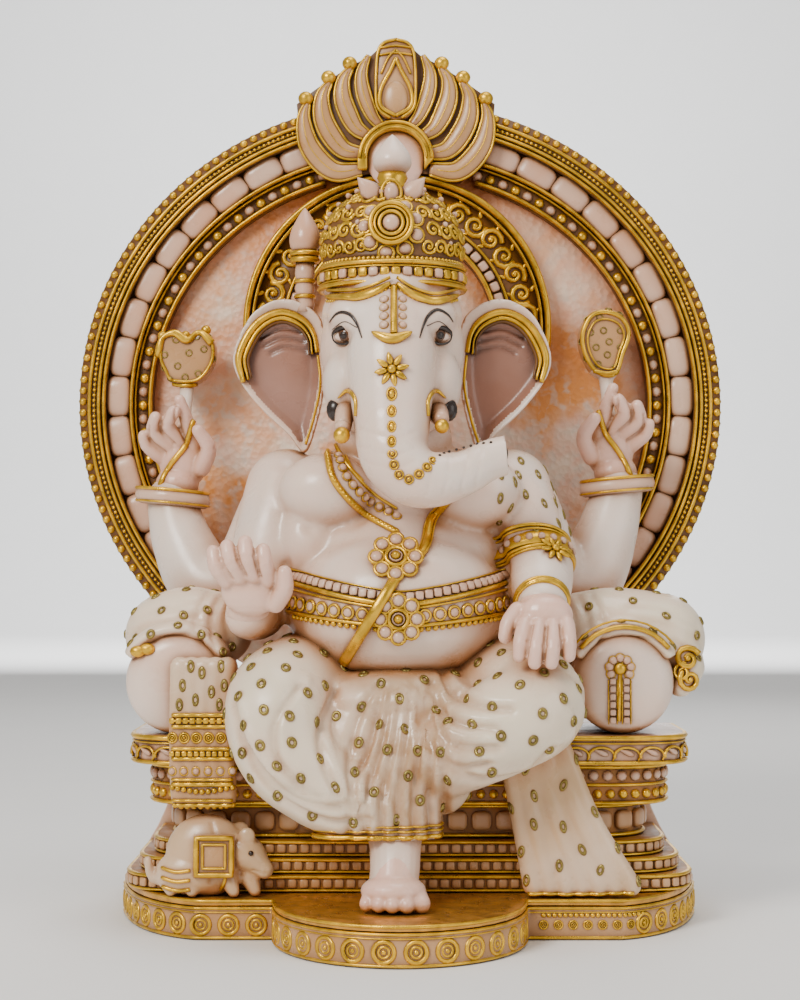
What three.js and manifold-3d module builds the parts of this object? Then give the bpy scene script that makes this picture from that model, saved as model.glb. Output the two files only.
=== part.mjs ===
// A seated Ganesha idol of painted and gilded white marble, put together from carved blocks:
// a lobed plinth, a moulded throne with bolsters, an oval halo with a lotus crest, and the figure.
// Millimetres, +Z up, the figure faces -Y, and the origin is on the floor under the middle.
// Left and right are the viewer's, so left is -X.
import * as THREE from "three";
import { mergeVertices } from "three/addons/utils/BufferGeometryUtils.js";
import Module from "manifold-3d";

const wasm = await Module();
wasm.setup();

// ---------------------------------------------------------------- driving dimensions

const BED = 0.3; // adhesive bed between neighbouring blocks

const PLINTH = {
  x: 6, // the plinth and throne stand a little to the right of the halo's middle
  halfWidth: 193,
  back: 152,
  front: -63,
  cornerX: 133, // where the straight front starts to turn into the side
  cornerY: 42, // where the turn ends
  lobeHalfWidth: 80,
  lobeReach: 89, // how far the middle lobe stands out of the straight front
  height: 21,
};
const LEDGE = { thickness: 4, inset: 1.5 };

// Moulded courses of the throne, from the plinth up. setBack is from the plinth's side, front is its front face.
const THRONE_COURSES = [
  { name: "throne_foot", height: 11, setBack: 10, front: -36 },
  { name: "throne_lower_step", height: 10, setBack: 18, front: -33 },
  { name: "throne_upper_step", height: 10.5, setBack: 27, front: -30 },
  { name: "throne_waist", height: 22, setBack: 39, front: -21 },
  { name: "throne_bead_course", height: 26, setBack: 25, front: -34 },
  { name: "throne_cap", height: 19, setBack: 14, front: -46 },
];
const THRONE_CORNER = 42; // radius of the throne's front corners
const THRONE_SPLIT_Y = 58; // joint between the courses and the back block
// The back block's side sweeps from its foot to an upright top part, which starts at a share of its height.
const THRONE_BACK = { y: 146, footSetBack: 1, waistSetBack: 26, topSetBack: 33, waist: 0.3, upright: 0.62 };

const HALO = {
  rise: 226, // centre of the oval above the seat
  halfWidth: 228,
  halfHeight: 217,
  taper: 0.02, // how much narrower the oval is over its centre than under it
  front: 112, // front face of the plain slab
  back: 140,
  lip: 4, // how far the rim stands out past the slab
  slabSides: 40,
  footHalfWidth: 110,
  footHeight: 70,
  armEnd: 232, // degrees where they end behind the bolster
};
// The halo's relief bands, from the outer edge in: width across the band, and how far it stands out.
const HALO_BANDS = [
  { name: "halo_rim", width: 20, relief: 21, colour: "gold" },
  { name: "halo_petals", width: 16.5, relief: 15, colour: "marble" },
  { name: "halo_beads", width: 15.5, relief: 17, colour: "gold" },
];
const AUREOLE = { x: -2, rise: 276, radius: 110, rimWidth: 6, bandWidth: 36, rimRelief: 27, bandRelief: 19 };
const CREST = { x: -3, halfWidth: 70, drop: 61.6, rise: 37.4, relief: 24, leafRelief: 5.5, leafHalfWidth: 15 };
// Degrees from +X where the left bands come out from under the crest.
const ARM_START = THREE.MathUtils.radToDeg(Math.acos((CREST.x - 0.96 * CREST.halfWidth) / HALO.halfWidth));
const CREST_MEDALLION = { radius: 27, width: 7, relief: 9 };

const HEAD = { x: -5, y: -42, rise: 246, width: 47, depth: 44, height: 48 };
const CROWN = { bandHalfWidth: 47, bandHalfDepth: 42, bandHeight: 16, domeHalfWidth: 52, domeHeight: 54,
  domeDepthShare: 0.88 };
const FINIAL = { collarRadius: 10, collarHeight: 11, budRadius: 13, budHeight: 25 };
// The small finial stands on the left ear, so its post starts inside the ear's top and is cut by it.
const SIDE_FINIAL = { x: -62, y: -15, rise: 24, postRadius: 5, postHeight: 35, collarRadius: 8, collarHeight: 6 };
const SIDE_BUD = { radius: 10.5, height: 30 };

const BOLSTER = { x: 142, radius: 33, front: -48, back: 50, crown: 3 };
const BOLSTER_CLOTH = { radius: 32, sink: 4, y: -4, inner: 124, leftEnd: 150, rightEnd: 170 };

const DOWEL = { radius: 4, slimRadius: 3, length: 60, shortLength: 26 };

// ---------------------------------------------------------------- colours

const finish = (color, roughness, metalness = 0) =>
  new THREE.MeshStandardMaterial({ color, roughness, metalness });
const FINISHES = {
  marble: finish(0xeee3dc, 0.3),
  gold: finish(0xb8892c, 0.38, 0.8),
  cloth: finish(0xe9dfcb, 0.36),
  rose: finish(0xdcc0b8, 0.4),
  ochre: finish(0xb98a55, 0.45),
  steel: finish(0x9a9c9f, 0.3, 0.9),
};

// ---------------------------------------------------------------- solids

const degrees = THREE.MathUtils.degToRad;

// A closed three.js geometry as a manifold-3d solid.
function solidOf(geometry) {
  const bare = geometry.index ? geometry.toNonIndexed() : geometry.clone();
  bare.deleteAttribute("normal");
  bare.deleteAttribute("uv");
  const merged = mergeVertices(bare, 1e-4);
  return new wasm.Manifold(
    new wasm.Mesh({
      numProp: 3,
      vertProperties: merged.attributes.position.array,
      triVerts: new Uint32Array(merged.index.array),
    }),
  );
}

// A manifold-3d solid as a three.js geometry.
function geometryOf(solid) {
  const mesh = solid.getMesh();
  const geometry = new THREE.BufferGeometry();
  geometry.setAttribute("position", new THREE.BufferAttribute(Float32Array.from(mesh.vertProperties), 3));
  geometry.setIndex(new THREE.BufferAttribute(Uint32Array.from(mesh.triVerts), 1));
  return geometry;
}

const joined = (solids) => solids.reduce((whole, solid) => whole.add(solid));

function ellipsoid([x, y, z], [rx, ry, rz], grow = 0, sides = 12) {
  const ball = new THREE.SphereGeometry(1, sides, Math.round(sides / 2));
  ball.rotateX(Math.PI / 2);
  ball.scale(rx + grow, ry + grow, rz + grow);
  ball.translate(x, y, z);
  return solidOf(ball);
}

// A round-ended limb from a to b, with its own radius at each end.
function limb(a, b, radiusA, radiusB, grow = 0, sides = 10) {
  const start = new THREE.Vector3(...a);
  const along = new THREE.Vector3(...b).sub(start);
  const [ra, rb] = [radiusA + grow, radiusB + grow];
  const capRows = 2;
  const profile = [];
  for (let i = 0; i <= capRows; i++) {
    const turn = (i / capRows) * (Math.PI / 2);
    profile.push(new THREE.Vector2(i ? ra * Math.sin(turn) : 0, -ra * Math.cos(turn)));
  }
  for (let i = 0; i <= capRows; i++) {
    const turn = (i / capRows) * (Math.PI / 2);
    const last = i === capRows;
    profile.push(new THREE.Vector2(last ? 0 : rb * Math.cos(turn), along.length() + rb * Math.sin(turn)));
  }
  const body = new THREE.LatheGeometry(profile, sides);
  const up = new THREE.Vector3(0, 1, 0);
  body.applyQuaternion(new THREE.Quaternion().setFromUnitVectors(up, along.normalize()));
  body.translate(...a);
  return solidOf(body);
}

// A chain of limbs through stations [x, y, z, radius].
function chain(stations, grow = 0, sides = 10) {
  const links = [];
  for (let i = 1; i < stations.length; i++) {
    const [a, b] = [stations[i - 1], stations[i]];
    links.push(limb(a.slice(0, 3), b.slice(0, 3), a[3], b[3], grow, sides));
  }
  return joined(links);
}

// An outline drawn in x and z, as a solid between two depths.
function upright(shape, yFront, yBack, curveSegments = 10) {
  const slab = new THREE.ExtrudeGeometry(shape, {
    depth: yBack - yFront,
    bevelEnabled: false,
    curveSegments,
  });
  slab.rotateX(Math.PI / 2);
  slab.translate(0, yBack, 0);
  return solidOf(slab);
}

// An outline drawn in x and y, as a solid between two heights.
function level(shape, zLow, zHigh, curveSegments = 10) {
  const slab = new THREE.ExtrudeGeometry(shape, {
    depth: zHigh - zLow,
    bevelEnabled: false,
    curveSegments,
  });
  slab.translate(0, 0, zLow);
  return solidOf(slab);
}

// A profile of [radius, height] pairs turned about an upright axis at x, y.
function turned(profile, x, y, z, sides = 16, depthShare = 1) {
  const points = profile.map(([radius, height]) => new THREE.Vector2(radius, height));
  const body = new THREE.LatheGeometry(points, sides);
  body.rotateX(Math.PI / 2);
  body.scale(1, depthShare, 1);
  body.translate(x, y, z);
  return solidOf(body);
}

function outline(points) {
  const shape = new THREE.Shape();
  shape.setFromPoints(points.map(([x, y]) => new THREE.Vector2(x, y)));
  return shape;
}

const box = (low, high) => {
  const size = high.map((value, axis) => value - low[axis]);
  const block = new THREE.BoxGeometry(...size);
  block.translate(...low.map((value, axis) => value + size[axis] / 2));
  return solidOf(block);
};

// ---------------------------------------------------------------- assembly

// Each block is carved to clear every block placed before it by the adhesive bed, and off-cuts fall away.
const idol = new THREE.Group();
const placed = [];

function addGroup(x, y, z) {
  const group = new THREE.Group();
  group.position.set(x, y, z);
  idol.add(group);
  return group;
}

// build(grow) gives the block in its group's frame, larger all round by grow.
function place(group, name, colour, build) {
  const { x, y, z } = group.position;
  const inPlace = (grow) => build(grow).translate([x, y, z]);
  const bounds = (solid) => {
    const { min, max } = solid.boundingBox();
    return new THREE.Box3(new THREE.Vector3(...min), new THREE.Vector3(...max));
  };
  let solid = inPlace(0);
  for (const other of placed)
    if (other.bounds.intersectsBox(bounds(solid))) solid = solid.subtract(other.cutter);
  const largest = solid.decompose().sort((a, b) => b.volume() - a.volume())[0];
  const cutter = inPlace(BED);
  placed.push({ cutter, bounds: bounds(cutter) });
  const geometry = geometryOf(largest.translate([-x, -y, -z]));
  geometry.computeVertexNormals();
  const mesh = new THREE.Mesh(geometry, FINISHES[colour]);
  mesh.name = name;
  group.add(mesh);
}

const PLINTH_TOP = PLINTH.height + BED + LEDGE.thickness;
const THRONE_HEIGHT = THRONE_COURSES.reduce((sum, course) => sum + BED + course.height, 0);
const SEAT_TOP = PLINTH_TOP + THRONE_HEIGHT;
const HALO_Z = SEAT_TOP + HALO.rise;

const base = addGroup(PLINTH.x, 0, 0);
const throne = addGroup(PLINTH.x, 0, PLINTH_TOP);
const seat = addGroup(0, 0, SEAT_TOP);
const halo = addGroup(0, HALO.front, HALO_Z);

// ---------------------------------------------------------------- steel dowels, bedded across the joints

function pin(group, name, from, to, radius) {
  place(group, name, "steel", (grow) => {
    const along = new THREE.Vector3(...to).sub(new THREE.Vector3(...from));
    const rod = new THREE.CylinderGeometry(radius + grow, radius + grow, along.length() + 2 * grow, 12);
    rod.applyQuaternion(
      new THREE.Quaternion().setFromUnitVectors(new THREE.Vector3(0, 1, 0), along.clone().normalize()),
    );
    rod.translate(...from.map((value, axis) => (value + to[axis]) / 2));
    return solidOf(rod);
  });
}

const HALO_MID_Y = (HALO.front + HALO.back) / 2;
for (const [side, sign] of [["left", -1], ["right", 1]]) {
  const x = (sign * HALO.footHalfWidth) / 2;
  const reach = DOWEL.length / 2;
  pin(seat, `halo_dowel_${side}`, [x, HALO_MID_Y, -reach], [x, HALO_MID_Y, reach], DOWEL.radius);
}
pin(seat, "figure_dowel", [0, 8, -DOWEL.shortLength / 2], [0, 8, DOWEL.length / 2], DOWEL.radius);
const CROWN_BASE = HEAD.rise + HEAD.height - 12;
pin(seat, "crown_dowel", [HEAD.x, -30, CROWN_BASE - 18], [HEAD.x, -30, CROWN_BASE + 30], DOWEL.slimRadius);
const CREST_PIN_Z = HALO.halfHeight - 34;
pin(
  halo,
  "crest_dowel",
  [CREST.x, -DOWEL.shortLength / 2, CREST_PIN_Z],
  [CREST.x, DOWEL.shortLength / 2, CREST_PIN_Z],
  DOWEL.slimRadius,
);

// ---------------------------------------------------------------- plinth

// Plan of the plinth: straight back and sides, turned front corners, and a round lobe in the middle.
function plinthPlan(inset) {
  const half = PLINTH.halfWidth - inset;
  const front = PLINTH.front + inset;
  const shape = new THREE.Shape();
  shape.moveTo(-half, PLINTH.back - inset);
  shape.lineTo(-half, PLINTH.cornerY);
  shape.quadraticCurveTo(-half + 14, front + 20, -PLINTH.cornerX, front);
  const [rx, ry] = [PLINTH.lobeHalfWidth - inset, PLINTH.lobeReach];
  shape.lineTo(-PLINTH.x - rx, front);
  shape.absellipse(-PLINTH.x, front, rx, ry, Math.PI, 2 * Math.PI, false);
  shape.lineTo(PLINTH.cornerX, front);
  shape.quadraticCurveTo(half - 14, front + 20, half, PLINTH.cornerY);
  shape.lineTo(half, PLINTH.back - inset);
  return shape;
}

place(base, "base_plinth", "marble", (grow) => level(plinthPlan(-grow), -grow, PLINTH.height + grow));
place(base, "plinth_ledge", "gold", (grow) =>
  level(plinthPlan(LEDGE.inset - grow), PLINTH.height + BED - grow, PLINTH_TOP + grow),
);

// ---------------------------------------------------------------- throne

function coursePlan(half, front, back) {
  const shape = new THREE.Shape();
  shape.moveTo(-half, back);
  shape.lineTo(-half, front + THRONE_CORNER);
  shape.quadraticCurveTo(-half, front, -half + THRONE_CORNER, front);
  shape.lineTo(half - THRONE_CORNER, front);
  shape.quadraticCurveTo(half, front, half, front + THRONE_CORNER);
  shape.lineTo(half, back);
  return shape;
}

let courseBottom = BED;
for (const course of THRONE_COURSES) {
  const low = courseBottom;
  const half = PLINTH.halfWidth - course.setBack;
  place(throne, course.name, course.name === "throne_cap" ? "gold" : "ochre", (grow) =>
    level(
      coursePlan(half + grow, course.front - grow, THRONE_SPLIT_Y - BED + grow),
      low - grow,
      low + course.height + grow,
      4,
    ),
  );
  courseBottom += course.height + BED;
}

// The back block carries the halo. Its sides sweep in from a wide foot to a waist.
place(throne, "throne_back", "marble", (grow) => {
  const foot = PLINTH.halfWidth - THRONE_BACK.footSetBack + grow;
  const waist = PLINTH.halfWidth - THRONE_BACK.waistSetBack + grow;
  const top = PLINTH.halfWidth - THRONE_BACK.topSetBack + grow;
  const waistZ = THRONE_HEIGHT * THRONE_BACK.waist;
  const uprightZ = THRONE_HEIGHT * THRONE_BACK.upright;
  const shape = new THREE.Shape();
  shape.moveTo(-top, THRONE_HEIGHT + grow);
  shape.lineTo(-top, uprightZ);
  shape.quadraticCurveTo(-waist, waistZ, -foot, BED - grow);
  shape.lineTo(foot, BED - grow);
  shape.quadraticCurveTo(waist, waistZ, top, uprightZ);
  shape.lineTo(top, THRONE_HEIGHT + grow);
  return upright(shape, THRONE_SPLIT_Y - grow, THRONE_BACK.y + grow, 6);
});

// ---------------------------------------------------------------- halo

// A point on the halo's oval, moved in from its edge. Angles are in degrees from +X.
function ovalPoint(inset, angle) {
  const swell = 1 - HALO.taper * Math.sin(degrees(angle));
  return [
    (HALO.halfWidth * swell - inset) * Math.cos(degrees(angle)),
    (HALO.halfHeight * swell - inset) * Math.sin(degrees(angle)),
  ];
}

// An arc band between two insets from the halo's edge.
function ovalBand(outer, inner, from, to, steps = 16) {
  const angles = Array.from({ length: steps + 1 }, (_, i) => from + ((to - from) * i) / steps);
  return outline([
    ...angles.map((angle) => ovalPoint(outer, angle)),
    ...angles.reverse().map((angle) => ovalPoint(inner, angle)),
  ]);
}

// A round arc band about the head, between two radii.
function roundBand(outer, inner, from, to, steps = 16) {
  const centreZ = SEAT_TOP + AUREOLE.rise - HALO_Z;
  const at = (radius, angle) => [
    AUREOLE.x + radius * Math.cos(degrees(angle)),
    centreZ + radius * Math.sin(degrees(angle)),
  ];
  const angles = Array.from({ length: steps + 1 }, (_, i) => from + ((to - from) * i) / steps);
  return outline([...angles.map((a) => at(outer, a)), ...angles.reverse().map((a) => at(inner, a))]);
}

place(halo, "halo_slab", "rose", (grow) => {
  const edge = Array.from({ length: HALO.slabSides }, (_, i) =>
    ovalPoint(HALO.lip - grow, (360 * i) / HALO.slabSides),
  );
  const foot = box(
    [-HALO.footHalfWidth - grow, BED - grow, -HALO.rise + BED - grow],
    [HALO.footHalfWidth + grow, HALO.back - HALO.front + grow, -HALO.rise + HALO.footHeight],
  );
  return upright(outline(edge), BED - grow, HALO.back - HALO.front + grow).add(foot);
});

let bandEdge = 0;
for (const band of HALO_BANDS) {
  const [outer, inner] = [bandEdge, bandEdge + band.width];
  for (const side of ["left", "right"]) {
    const [from, to] =
      side === "left" ? [ARM_START, HALO.armEnd] : [180 - HALO.armEnd, 180 - ARM_START];
    place(halo, `${band.name}_${side}`, band.colour, (grow) =>
      upright(ovalBand(outer - grow, inner + grow, from, to), -band.relief - grow, grow),
    );
  }
  bandEdge = inner + BED;
}

const AUREOLE_SPAN = [-22, 202]; // degrees, from behind one shoulder over the head to the other
place(halo, "aureole_rim", "gold", (grow) =>
  upright(
    roundBand(AUREOLE.radius + grow, AUREOLE.radius - AUREOLE.rimWidth - grow, ...AUREOLE_SPAN),
    -AUREOLE.rimRelief - grow,
    grow,
  ),
);
const AUREOLE_BAND_EDGE = AUREOLE.radius - AUREOLE.rimWidth - BED;
place(halo, "aureole_band", "gold", (grow) =>
  upright(
    roundBand(AUREOLE_BAND_EDGE + grow, AUREOLE_BAND_EDGE - AUREOLE.bandWidth - grow, ...AUREOLE_SPAN),
    -AUREOLE.bandRelief - grow,
    grow,
  ),
);

// The lotus crest stands on the top of the oval.
const CREST_BOTTOM = HALO.halfHeight - CREST.drop;
const CREST_TOP = HALO.halfHeight + CREST.rise;
place(halo, "crest_medallion", "gold", (grow) => {
  const { radius, width, relief } = CREST_MEDALLION;
  const shape = new THREE.Shape();
  shape.moveTo(CREST.x + radius + grow, CREST_BOTTOM + 4 - grow);
  shape.absarc(CREST.x, CREST_BOTTOM + 12, radius + grow, 0, Math.PI, false);
  shape.lineTo(CREST.x - radius - grow, CREST_BOTTOM + 4 - grow);
  shape.lineTo(CREST.x - radius + width + grow, CREST_BOTTOM + 4 - grow);
  shape.absarc(CREST.x, CREST_BOTTOM + 12, radius - width - grow, Math.PI, 0, true);
  shape.lineTo(CREST.x + radius - width - grow, CREST_BOTTOM + 4 - grow);
  return upright(shape, -CREST.relief - relief - grow, -CREST.relief - BED + grow, 10);
});
place(halo, "crest_leaf", "rose", (grow) => {
  const half = CREST.leafHalfWidth + grow;
  const low = CREST_BOTTOM + CREST_MEDALLION.radius + 12 + BED - grow;
  const shape = new THREE.Shape();
  shape.moveTo(CREST.x, low);
  shape.quadraticCurveTo(CREST.x + half, low, CREST.x + half, low + 20);
  shape.lineTo(CREST.x + half * 0.8, CREST_TOP - 8 + grow);
  shape.quadraticCurveTo(CREST.x, CREST_TOP + 6 + grow, CREST.x - half * 0.8, CREST_TOP - 8 + grow);
  shape.lineTo(CREST.x - half, low + 20);
  shape.quadraticCurveTo(CREST.x - half, low, CREST.x, low);
  return upright(shape, -CREST.relief - CREST.leafRelief - grow, -CREST.relief - BED + grow, 6);
});
place(halo, "crest_fan", "rose", (grow) => {
  const half = CREST.halfWidth + grow;
  // One side of the fan from the foot to the tip: share of the half width, height above the foot.
  const side = [
    [0.66, -grow],
    [0.86, 14],
    [0.98, 34],
    [1.0, 52],
    [0.86, 60],
    [0.66, 70 + grow],
    [0.44, 80 + grow],
    [0.26, 86 + grow],
    [0.2, CREST_TOP - CREST_BOTTOM - 9 + grow],
    [0.09, CREST_TOP - CREST_BOTTOM - 2 + grow],
  ];
  const right = side.map(([share, height]) => [CREST.x + share * half, CREST_BOTTOM + height]);
  const left = side.map(([share, height]) => [CREST.x - share * half, CREST_BOTTOM + height]).reverse();
  return upright(outline([...right, ...left]), -CREST.relief - grow, grow);
});

// ---------------------------------------------------------------- crown, head, trunk, ears, tusks

place(seat, "crown_band", "gold", (grow) => {
  const { bandHalfWidth, bandHalfDepth, bandHeight } = CROWN;
  return turned(
    [
      [0, -grow],
      [bandHalfWidth + grow, -grow],
      [bandHalfWidth + grow, bandHeight + grow],
      [0, bandHeight + grow],
    ],
    HEAD.x,
    HEAD.y + 5,
    CROWN_BASE,
    24,
    (bandHalfDepth + grow) / (bandHalfWidth + grow),
  );
});
const DOME_BASE = CROWN_BASE + CROWN.bandHeight + BED;
place(seat, "crown_dome", "gold", (grow) => {
  const rows = 6;
  const profile = [[0, -grow]];
  for (let i = 0; i <= rows; i++) {
    const turn = (i / rows) * (Math.PI / 2);
    const bulge = 0.9 + 0.1 * Math.sin(2 * turn);
    const radius = i === rows ? 0 : (CROWN.domeHalfWidth * bulge + grow) * Math.cos(turn);
    profile.push([radius, (CROWN.domeHeight + grow) * Math.sin(turn) + (i ? 0 : -grow)]);
  }
  return turned(profile, HEAD.x, HEAD.y + 10, DOME_BASE, 18, CROWN.domeDepthShare);
});
place(seat, "crown_finial", "marble", (grow) => {
  const { collarRadius, collarHeight, budRadius, budHeight } = FINIAL;
  return turned(
    [
      [0, -grow],
      [collarRadius + grow, -grow],
      [collarRadius + grow, collarHeight],
      [budRadius + grow, collarHeight + budHeight * 0.25],
      [budRadius * 0.75 + grow, collarHeight + budHeight * 0.6],
      [budRadius * 0.3 + grow, collarHeight + budHeight * 0.85],
      [0, collarHeight + budHeight + grow],
    ],
    HEAD.x,
    HEAD.y + 24,
    DOME_BASE + CROWN.domeHeight + BED,
    14,
  );
});
place(seat, "head", "marble", (grow) =>
  joined([
    ellipsoid([HEAD.x, HEAD.y, HEAD.rise], [HEAD.width, HEAD.depth, HEAD.height], grow, 14),
    ellipsoid([HEAD.x, HEAD.y - 10, HEAD.rise - 32], [HEAD.width - 4, HEAD.depth - 9, 32], grow),
  ]),
);
place(seat, "trunk", "marble", (grow) =>
  chain(
    [
      [HEAD.x, HEAD.y - 26, HEAD.rise - 22, 26],
      [HEAD.x, HEAD.y - 46, HEAD.rise - 50, 24.5],
      [HEAD.x + 2, HEAD.y - 55, HEAD.rise - 74, 23],
      [HEAD.x + 19, HEAD.y - 58, HEAD.rise - 89, 20],
      [HEAD.x + 44, HEAD.y - 57, HEAD.rise - 85, 16.5],
      [HEAD.x + 66, HEAD.y - 54, HEAD.rise - 76, 12.5],
    ],
    grow,
  ),
);

// One ear, as distances from the middle of the face outwards and heights above the middle of the head.
const EAR_OUTLINE = [
  [47, 14],
  [53, 28],
  [71, 35],
  [91, 25],
  [104, 0],
  [101, -17],
  [85, -37],
  [67, -54],
  [57, -67],
  [51, -52],
  [46, -22],
];
const EAR = { front: -24, back: -8 };
for (const [side, sign] of [["left", -1], ["right", 1]]) {
  place(seat, `ear_${side}`, "marble", (grow) => {
    const stretch = 1 + grow / 30;
    const points = EAR_OUTLINE.map(([out, up]) => [
      HEAD.x + sign * (75 + (out - 75) * stretch),
      HEAD.rise - 16 + (up + 16) * stretch,
    ]);
    if (sign > 0) points.reverse();
    return upright(outline(points.reverse()), EAR.front - grow, EAR.back + grow);
  });
  place(seat, `tusk_${side}`, "marble", (grow) =>
    limb(
      [HEAD.x + sign * 27, HEAD.y - 24, HEAD.rise - 37],
      [HEAD.x + sign * 31, HEAD.y - 52, HEAD.rise - 53],
      7,
      4.5,
      grow,
      10,
    ),
  );
}

place(seat, "crown_side_finial", "marble", (grow) => {
  const { x, y, rise, postRadius, postHeight, collarRadius, collarHeight } = SIDE_FINIAL;
  return turned(
    [
      [0, -grow],
      [postRadius + grow, -grow],
      [postRadius + grow, postHeight],
      [collarRadius + grow, postHeight],
      [collarRadius + grow, postHeight + collarHeight],
      [SIDE_BUD.radius + grow, postHeight + collarHeight + SIDE_BUD.height * 0.25],
      [SIDE_BUD.radius * 0.65 + grow, postHeight + collarHeight + SIDE_BUD.height * 0.65],
      [0, postHeight + collarHeight + SIDE_BUD.height + grow],
    ],
    x,
    y,
    HEAD.rise + rise,
    12,
  );
});

// ---------------------------------------------------------------- torso and limbs, heights above the seat

place(seat, "torso", "marble", (grow) =>
  joined([
    ellipsoid([-1, -28, 82], [73, 66, 52], grow, 16),
    ellipsoid([-2, 2, 36], [96, 54, 44], grow),
    ellipsoid([-1, -4, 149], [82, 46, 42], grow),
    ellipsoid([-49, -42, 156], [30, 24, 24], grow, 10),
    ellipsoid([49, -42, 156], [30, 24, 24], grow, 10),
    ellipsoid([-4, -18, 192], [36, 32, 28], grow, 10),
  ]),
);

const FOOT_TOE_Y = -108;
const PLINTH_BELOW = -THRONE_HEIGHT; // the plinth's top, measured from the seat
place(seat, "leg_left", "cloth", (grow) =>
  chain(
    [
      [-48, -14, 34, 36],
      [-78, -76, 22, 33],
      [-62, -82, -14, 33],
      [-26, -84, -34, 28],
      [-2, -84, -40, 22],
    ],
    grow,
  ),
);
place(seat, "leg_right", "cloth", (grow) =>
  chain(
    [
      [48, -14, 34, 36],
      [87, -74, 22, 32],
      [34, -84, -4, 30],
    ],
    grow,
  ),
);
place(seat, "foot", "marble", (grow) =>
  joined([
    limb([-3, -88, PLINTH_BELOW + 40], [-3, -96, PLINTH_BELOW + 18], 16, 15, grow),
    ellipsoid([-4, FOOT_TOE_Y, PLINTH_BELOW + 10], [21, 18, 11], grow),
  ]),
);
place(seat, "lap_drape", "cloth", (grow) =>
  upright(
    outline([
      [-36 - grow, 40 + grow],
      [-24 - grow, -60 - grow],
      [30 + grow, -60 - grow],
      [44 + grow, -20],
      [50 + grow, 40 + grow],
    ].reverse()),
    -98 - grow,
    -50 + grow,
  ),
);

place(seat, "front_arm_left", "marble", (grow) =>
  chain(
    [
      [-84, -8, 162, 25],
      [-100, -22, 109, 22],
      [-101, -30, 66, 20],
      [-95, -60, 78, 15],
    ],
    grow,
  ),
);
place(seat, "front_hand_left", "rose", (grow) => {
  const fingers = [0, 1, 2, 3].map((i) =>
    limb([-105 + 8 * i, -77, 106], [-109 + 8.5 * i, -80, 121 + (i % 3)], 4.6, 4, grow, 6),
  );
  const thumb = limb([-76, -76, 96], [-69, -79, 108], 5, 4.2, grow, 6);
  return joined([ellipsoid([-92, -75, 98], [20, 9, 17], grow), thumb, ...fingers]);
});
place(seat, "front_arm_right", "cloth", (grow) =>
  chain(
    [
      [84, -8, 160, 25],
      [90, -26, 124, 24],
      [92, -46, 102, 21],
      [88, -76, 84, 17],
    ],
    grow,
  ),
);
place(seat, "front_hand_right", "rose", (grow) => {
  const fingers = [0, 1, 2, 3].map((i) =>
    limb([77 + 7.2 * i, -98, 68], [75 + 8 * i, -106, 55], 4.4, 3.8, grow, 6),
  );
  return joined([ellipsoid([88, -92, 76], [18, 11, 14], grow), ...fingers]);
});

// The raised rear arms come from behind the shoulders, and their hands hold the axe and the goad against the halo.
const REAR = [
  { side: "left", sign: -1, elbow: [139, 40, 101], wrist: [157, 58, 150], palm: [148, 60, 180] },
  { side: "right", sign: 1, elbow: [140, 40, 101], wrist: [150, 58, 158], palm: [143, 60, 188] },
];
const EMBLEM = { width: 20, height: 28, rise: 78, y: 93, depth: 22 };
for (const { side, sign, elbow, wrist, palm } of REAR) {
  const [px, py, pz] = palm;
  place(seat, side === "left" ? "axe" : "goad", "gold", (grow) =>
    joined([
      ellipsoid(
        [sign * (px + 1), EMBLEM.y, pz + EMBLEM.rise],
        [EMBLEM.width, EMBLEM.depth, EMBLEM.height],
        grow,
      ),
      limb([sign * px, py + 8, pz + 24], [sign * px, EMBLEM.y - 6, pz + EMBLEM.rise - 14], 6, 7, grow, 8),
    ]),
  );
  place(seat, `rear_arm_${side}`, "marble", (grow) =>
    chain(
      [
        [sign * 86, 14, 156, 25],
        [sign * elbow[0], elbow[1], elbow[2], 25],
        [sign * wrist[0], wrist[1], wrist[2], 20],
      ],
      grow,
    ),
  );
  place(seat, `rear_hand_${side}`, "rose", (grow) => {
    const curled = [0, 1, 2].map((i) =>
      limb(
        [sign * (px + 6 + 5 * i), py - 2, pz + 10 - 2 * i],
        [sign * (px + 14 + 9 * i), py - 6, pz + 20 - 3 * i],
        5.2,
        4.6,
        grow,
        6,
      ),
    );
    const index = limb([sign * (px + 5), py, pz + 14], [sign * (px + 9), py + 3, pz + 42], 5.4, 4.2, grow, 6);
    const thumb = limb([sign * (px - 10), py - 4, pz + 2], [sign * (px - 8), py - 6, pz + 22], 5.6, 4.4, grow, 6);
    return joined([ellipsoid([sign * px, py, pz], [17, 12, 22], grow), index, thumb, ...curled]);
  });
}

// ---------------------------------------------------------------- bolsters and their cloths

for (const [side, sign] of [["left", -1], ["right", 1]]) {
  const centreZ = BED + BOLSTER.radius;
  place(seat, `bolster_${side}`, "marble", (grow) => {
    const { radius, front, back, crown } = BOLSTER;
    const length = back - front;
    const body = turned(
      [
        [0, -grow],
        [radius - crown + grow, -grow],
        [radius + grow, crown],
        [radius + grow, length - crown],
        [radius - crown + grow, length + grow],
        [0, length + grow],
      ],
      0,
      0,
      0,
      24,
    );
    return body.rotate([-90, 0, 0]).translate([sign * BOLSTER.x, front, centreZ]);
  });
  place(seat, `bolster_cloth_${side}`, "cloth", (grow) => {
    const { radius, sink, y, inner, leftEnd, rightEnd } = BOLSTER_CLOTH;
    const rise = 2 * BOLSTER.radius - sink;
    const end = sign < 0 ? leftEnd : rightEnd;
    return limb([sign * inner, y, rise], [sign * end, y, rise - 2], radius, radius - 1, grow, 18);
  });
}

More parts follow.
